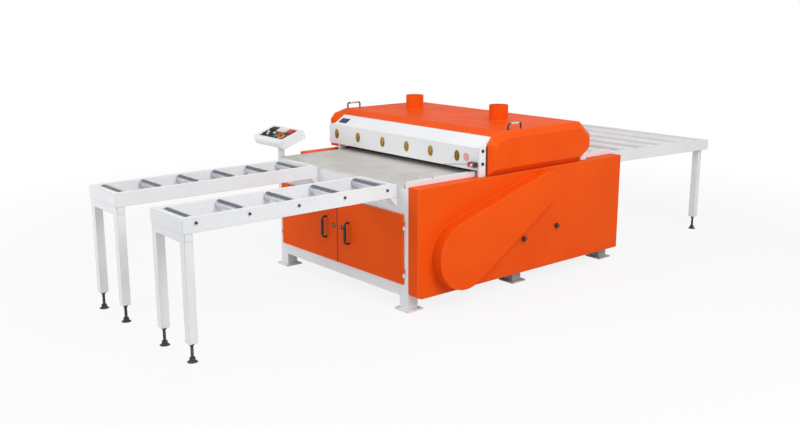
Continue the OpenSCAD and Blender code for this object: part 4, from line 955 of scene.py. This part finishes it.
# %% Dress the left cover
LEFT_FACE, HATCH_Y, HATCH_Z, HATCH_THICK = -963.0, 860.0, 420.0, 3.0
hatch = box("hatch", (330.0, 760.0, 2.0))
round_corners(hatch, 30.0, 6)
top_face(hatch)
step_in(hatch, 1.5, 1.0)
step_in(hatch, 26.0)
step_in(hatch, 8.0, 3.0)
close(hatch)
pressed = set_out(hatch, "left_cover_hatch", [at(LEFT_FACE, HATCH_Y, HATCH_Z)], LEFT)
fit(pressed, "machine", "orange_pressing")
hatch_screws = [at(LEFT_FACE - HATCH_THICK, y, z) for y in (495.0, HATCH_Y, 1225.0) for z in (270.0, 570.0)]
edge_screws = [at(LEFT_FACE, y, z) for y in (390.0, 910.0, 1430.0, 1950.0) for z in (125.0, 745.0)]
cover_screws = set_out(dome_screw, "left_cover_screws", hatch_screws + edge_screws, LEFT)
fit(cover_screws, "machine", "screw_steel")
side_slots = [at(LEFT_FACE, 1600.0, HATCH_Z + SLOT_PITCH * row) for row in SLOT_ROWS]
side_louvres = set_out(louvre, "left_cover_louvres", side_slots, LEFT, math.pi / 2)
fit(side_louvres, "machine", "orange_pressing")
scrap(hatch, louvre)

# %% [markdown]
# ## The motor's fan grille
# Behind the doors the main motor shows its fan end. Rings of insets, pushed down and up in turn, make the
# pressed grille.

# %% Press the fan grille
FAN_RINGS, FAN_X = 5, 230.0
grille = rod("fan_grille", 64, 112.0, 3.0)
top_face(grille)
for fan_ring in range(FAN_RINGS):
    draw_in(8.0)
    push(z=-2.0)
    draw_in(9.0)
    push(z=2.0)
close(grille)
fan = set_out(grille, "motor_fan_grille", [at(FAN_X, MOTOR_Y, MOTOR_Z)], LEFT)
fit(fan, "machine", "dark_steel")
scrap(grille)

# %% [markdown]
# ## The control console
# The tilted white box carries a dark panel. Its fittings are modelled flat, measured across and up the
# panel from the box's lower front edge, and one function then tips them onto the slope. The panel plate has
# two round holes for the buttons that the CAD model already has; a boolean cut is the plain way to get a
# round hole through a flat plate.

# %% Lay the console panel
CONSOLE_TILT = math.radians(20.0)
CONSOLE_UP = Vector((0.0, -math.sin(CONSOLE_TILT), math.cos(CONSOLE_TILT)))
CONSOLE_X, CONSOLE_Y, CONSOLE_Z = -754.5, -65.0, 877.0
PANEL_FACE, PANEL_MIDDLE, PANEL_THICK = 62.3, 112.0, 2.2
STOP_SPOT, START_SPOT, HOLE_RADIUS = (97.0, 71.0), (30.0, 71.0), 12.0


def console(across, up, out):
    """A place on the console: mm from its middle, up the slope from its front edge, out from below."""
    along, rise = math.cos(CONSOLE_TILT), math.sin(CONSOLE_TILT)
    y, z = up * along - out * rise, up * rise + out * along
    return at(CONSOLE_X + across, CONSOLE_Y + y, CONSOLE_Z + z)


def on_console(model, name, spots, finish):
    """Sets a model out at spots on the panel's face."""
    places = [console(across, up, PANEL_FACE) for across, up in spots]
    fit(set_out(model, name, places, CONSOLE_UP), "machine", finish)


panel = box("panel_plate", (299.2, 143.2, PANEL_THICK), spot=(0.0, PANEL_MIDDLE), base=-PANEL_THICK)
round_corners(panel, 3.0)
top_face(panel)
step_in(panel, 0.5, 0.3)
step_in(panel, 3.0)
push(z=-0.4)
close(panel)
for spot in (STOP_SPOT, START_SPOT):
    punch = close(rod("punch", 40, HOLE_RADIUS, 30.0, spot=spot, base=-15.0))
    only(panel)
    bpy.ops.object.modifier_add(type="BOOLEAN")
    hole = panel.modifiers[-1]
    hole.object, hole.operation, hole.solver = punch, "DIFFERENCE", "EXACT"
    bpy.ops.object.modifier_apply(modifier=hole.name)
    scrap(punch)
moulded("panel_dark", "panel_dark", (46, 42, 50), (34, 30, 38), 500.0, 0.0001, 0.30, 0.2)
on_console(panel, "console_panel", [(0.0, 0.0)], "panel_dark")
scrap(panel)

# %% [markdown]
# ## The window, the meters and the lamp box
# A read-out window, two pointer meters and a red lamp box fill the panel's upper row. Each is a box whose
# top is stepped in and pushed down, so the rim stands proud of what is inside.

# %% Make the window and the meters
def make_window(width, height, rise, sink):
    """A framed box standing on z = 0, with its glass sunk below the rim."""
    window = box("window", (width, height, rise))
    round_corners(window, 2.5)
    top_face(window)
    step_in(window, 0.8, 0.6)
    step_in(window, 3.0)
    push(z=-sink)
    return close(window)


moulded("window_glass", "window_glass", (30, 18, 22), (58, 16, 20), 60.0, 0.00005, 0.08, 0.4)
moulded("dial_white", "dial_white", (232, 230, 224), (222, 220, 212), 80.0, 0.00005, 0.30)
moulded("key_white", "key_white", (226, 222, 220), (208, 202, 200), 600.0, 0.0001, 0.35)
moulded("key_red", "key_red", (206, 70, 62), (186, 52, 46), 600.0, 0.0001, 0.32)
moulded("collar_yellow", "collar_yellow", (226, 178, 40), (204, 156, 30), 600.0, 0.0001, 0.35)

UPPER_ROW, WINDOW_X, LAMP_X, METERS = 150.0, -98.0, 108.0, (-18.0, 38.0)
wide_window = make_window(width=86.0, height=48.0, rise=7.0, sink=2.4)
square_window = make_window(width=50.0, height=50.0, rise=8.0, sink=3.0)
on_console(wide_window, "console_windows", [(WINDOW_X, UPPER_ROW)], "black_plastic")
on_console(square_window, "console_meters", [(x, UPPER_ROW) for x in METERS], "dial_white")
on_console(square_window, "console_lamp_box", [(LAMP_X, UPPER_ROW)], "key_red")

# %% [markdown]
# ## The pane and the needles
# The window gets a dark pane inside its rim. A meter's needle is a thin bar, scaled down to a point at one
# end and widened to a tail at the other.

# %% Set the pane and the needles
glass = box("window_pane", (77.0, 39.0, 0.6), base=5.3)
round_corners(glass, 2.0)
top_face(glass)
step_in(glass, 0.6, 0.3)
close(glass)
on_console(glass, "console_window_pane", [(WINDOW_X, UPPER_ROW)], "window_glass")

needle = box("meter_needle", (1.6, 30.0, 0.8), spot=(0.0, 2.0), base=6.0)
pick_faces(needle, lambda middle, normal: normal.y > STRAIGHT)
bpy.ops.transform.resize(value=(0.25, 1.0, 0.6))
pick_faces(needle, lambda middle, normal: normal.y < -STRAIGHT)
push(y=-3.0)
bpy.ops.transform.resize(value=(3.0, 1.0, 1.6))
close(needle)
needle_spots = [(x, UPPER_ROW - 2.0) for x in METERS]
on_console(needle, "meter_needles", needle_spots, "black_plastic")
scrap(wide_window, square_window, glass, needle)

# %% [markdown]
# ## Keys
# The keys are square caps with a dished top. One cap is copied out in rows, in two colours.

# %% Set out the keys
key = box("key_cap", (19.0, 19.0, 6.0))
round_corners(key, 2.5)
top_face(key)
step_in(key, 1.2, 1.4)
step_in(key, 2.2)
push(z=-0.9)
close(key)
ROWS, COLUMNS = (100.0, 74.0), (-132.0, -106.0, -80.0, -54.0, -28.0)
spots = [(x, y) for x in COLUMNS for y in ROWS]
on_console(key, "console_dark_keys", spots[0::3] + spots[1::3], "black_plastic")
on_console(key, "console_pale_keys", spots[2::3], "key_white")
scrap(key)

# %% [markdown]
# ## Button collars
# The emergency stop stands in a yellow collar and the start button in a bright bezel. Both are rings: a rod
# whose two ends are inset alike and bridged.

# %% Ring the buttons
def make_ring(name, sides, radius, depth, rim, rise, land, base=0.0):
    """A ring whose top has a sloping rim and a flat land round the bore."""
    made = rod(name, sides, radius, depth, base=base)
    top_face(made)
    draw_in(rim, rise)
    draw_in(land)
    underside(made)
    draw_in(rim + land)
    bore_through(made)
    return close(made)


collar = make_ring("collar", sides=48, radius=27.0, depth=3.0, rim=1.5, rise=1.0, land=13.0)
on_console(collar, "stop_collar", [STOP_SPOT], "collar_yellow")
bezel = make_ring("bezel", sides=40, radius=15.0, depth=2.0, rim=1.0, rise=0.8, land=2.2)
on_console(bezel, "start_bezel", [START_SPOT], "lock_chrome")
scrap(collar, bezel)

# %% [markdown]
# ## Threads on the levelling feet
# Each leg stands on a threaded stem. A real thread is a ridge that climbs the stem, so a small triangle is
# swept round and up by the Screw modifier and its ends are filled. A ring-shaped hub finishes the foot.

# %% Cut the foot threads
THREAD_PITCH, THREAD_TURNS, THREAD_STEPS = 2.6, 26, 14
STEM_RADIUS, THREAD_BASE, OUTFEED_Y = 7.9, 26.0, 3280.0
thread_start = (STEM_RADIUS * MM, 0.0, THREAD_BASE * MM)
thread = start("foot_thread", bpy.ops.mesh.primitive_circle_add, vertices=3, radius=1.5 * MM,
               fill_type="NOTHING", location=thread_start, rotation=(math.radians(90.0), 0, 0))
bpy.ops.object.mode_set(mode="OBJECT")
bpy.ops.object.modifier_add(type="SCREW")
sweep = thread.modifiers[-1]
sweep.screw_offset, sweep.iterations = THREAD_PITCH * MM, THREAD_TURNS
sweep.steps = sweep.render_steps = THREAD_STEPS
bpy.ops.object.modifier_apply(modifier=sweep.name)
bpy.ops.object.mode_set(mode="EDIT")
bpy.ops.mesh.select_mode(type="EDGE")
bpy.ops.mesh.select_all(action="DESELECT")
bpy.ops.mesh.select_non_manifold()
bpy.ops.mesh.edge_face_add()
close(thread)
hub = make_ring("foot_hub", sides=36, radius=17.0, depth=12.0, rim=2.0, rise=1.4, land=6.8, base=12.0)
foot_dress = join("foot_dress", thread, hub)
infeed_feet = [at(x, PORTAL_Y, 0.0) for x in (-588.0, -258.0, 258.0, 588.0)]
outfeed_feet = [at(x, OUTFEED_Y, 0.0) for x in (-645.5, 645.5)]
feet = set_out(foot_dress, "foot_threads", infeed_feet + outfeed_feet)
fit(feet, "machine", "dark_steel")
scrap(foot_dress, bolt, flat_screw, dome_screw, small_screw)

# %% [markdown]
# ## The floor
# The photograph is a cut-out on white, so the floor looks nearly white to the camera and in reflections, and
# white further out. For every other ray it is a plain pale surface, so the light on the machine stays soft
# and at a plain level, and the floor keeps the machine's shadow.

# %% Lay the floor
WHITE = (1.0, 1.0, 1.0, 1.0)
NEAR_GREY, NEAR, FAR = 0.14, 3.0, 5.2


def seen_directly(bare):
    """1 for rays from the camera, or by way of a mirror or glass."""
    straight = bare.node("LightPath", {}, {}, out="Is Camera Ray")
    mirrored = bare.node("LightPath", {}, {}, out="Is Glossy Ray")
    through = bare.node("LightPath", {}, {}, out="Is Transmission Ray")
    return bare.maths("MAXIMUM", bare.maths("MAXIMUM", straight, mirrored), through)


bpy.ops.object.select_all(action="DESELECT")
bpy.ops.mesh.primitive_plane_add(size=60.0, location=(0.0, 0.0, 0.0))
floor = bpy.context.object
floor.name = "studio_floor"
floor_paint, bare, shader, place = begin("studio_floor")
pale = colours(bare, linear(206, 206, 206), linear(212, 212, 212), cloud(bare, place, 0.7))
feed(shader, pale, "Base Color")
shader.inputs["Roughness"].default_value = 0.9
glow = bare.node("Emission", {}, {"Color": WHITE, "Strength": 1.0})
plain = Wire(bare.tree, shader.outputs[0])
distance = bare.node("VectorMath", {"operation": "LENGTH"}, {0: place}, out="Value")
close_by = between(bare, distance, FAR, NEAR)
white_share = (1.0 - NEAR_GREY * close_by) * seen_directly(bare)
mixed = bare.node("MixShader", {}, {0: white_share, 1: plain, 2: glow})
bare.tree.links.new(mixed.socket, bare.tree.nodes["Material Output"].inputs["Surface"])
floor.data.materials.append(floor_paint)
print("floor:", floor.name)

# %% [markdown]
# ## The world and the lamps
# The world is white where it is seen, and a softer white where it only lights. Chrome shows what stands
# round it, so in reflections alone the world has a dark wall, high on the left, which gives the rollers
# their dark band. Three large square lamps do the rest.

# %% Hang the lamps
world = bpy.data.worlds.new("studio_world")
bpy.context.scene.world = world
world.use_nodes = True
sky = Wire(world.node_tree)
ambient = sky.node("Background", {}, {"Color": WHITE, "Strength": 0.62})
white = sky.node("Background", {}, {"Color": WHITE, "Strength": 1.0})
dark = sky.node("Background", {}, {"Color": (0.5, 0.52, 0.56, 1.0), "Strength": 0.38})
aim = sky.node("TexCoord", {}, {}, out="Object")
leftward = between(sky, part_of(sky, aim, "X"), -0.30, -0.50)
upward = between(sky, part_of(sky, aim, "Z"), 0.24, 0.34)
wall = leftward * upward * sky.node("LightPath", {}, {}, out="Is Glossy Ray")
backdrop = sky.node("MixShader", {}, {0: wall, 1: white, 2: dark})
both = sky.node("MixShader", {}, {0: seen_directly(sky), 1: ambient, 2: backdrop})
world.node_tree.links.new(both.socket, world.node_tree.nodes["World Output"].inputs["Surface"])


def lamp(name, place, target, size, power):
    """Hangs a square soft lamp at a place, aimed at a target."""
    data = bpy.data.lights.new(name, "AREA")
    data.shape = "SQUARE"
    data.size = size
    data.energy = power
    light = bpy.data.objects.new(name, data)
    bpy.context.scene.collection.objects.link(light)
    light.location = place
    light.rotation_euler = (Vector(target) - Vector(place)).to_track_quat("-Z", "Y").to_euler()


lamp("right_softbox", (5.0, -1.0, 4.2), (0.6, 0.2, 0.6), size=3.0, power=183.0)
lamp("top_softbox", (-0.5, -0.5, 5.0), (0.0, 0.0, 0.8), size=4.0, power=33.0)
lamp("front_softbox", (-2.0, -6.0, 3.0), (0.0, -0.9, 0.5), size=3.0, power=109.0)
print("lamps:", len(bpy.data.lights))
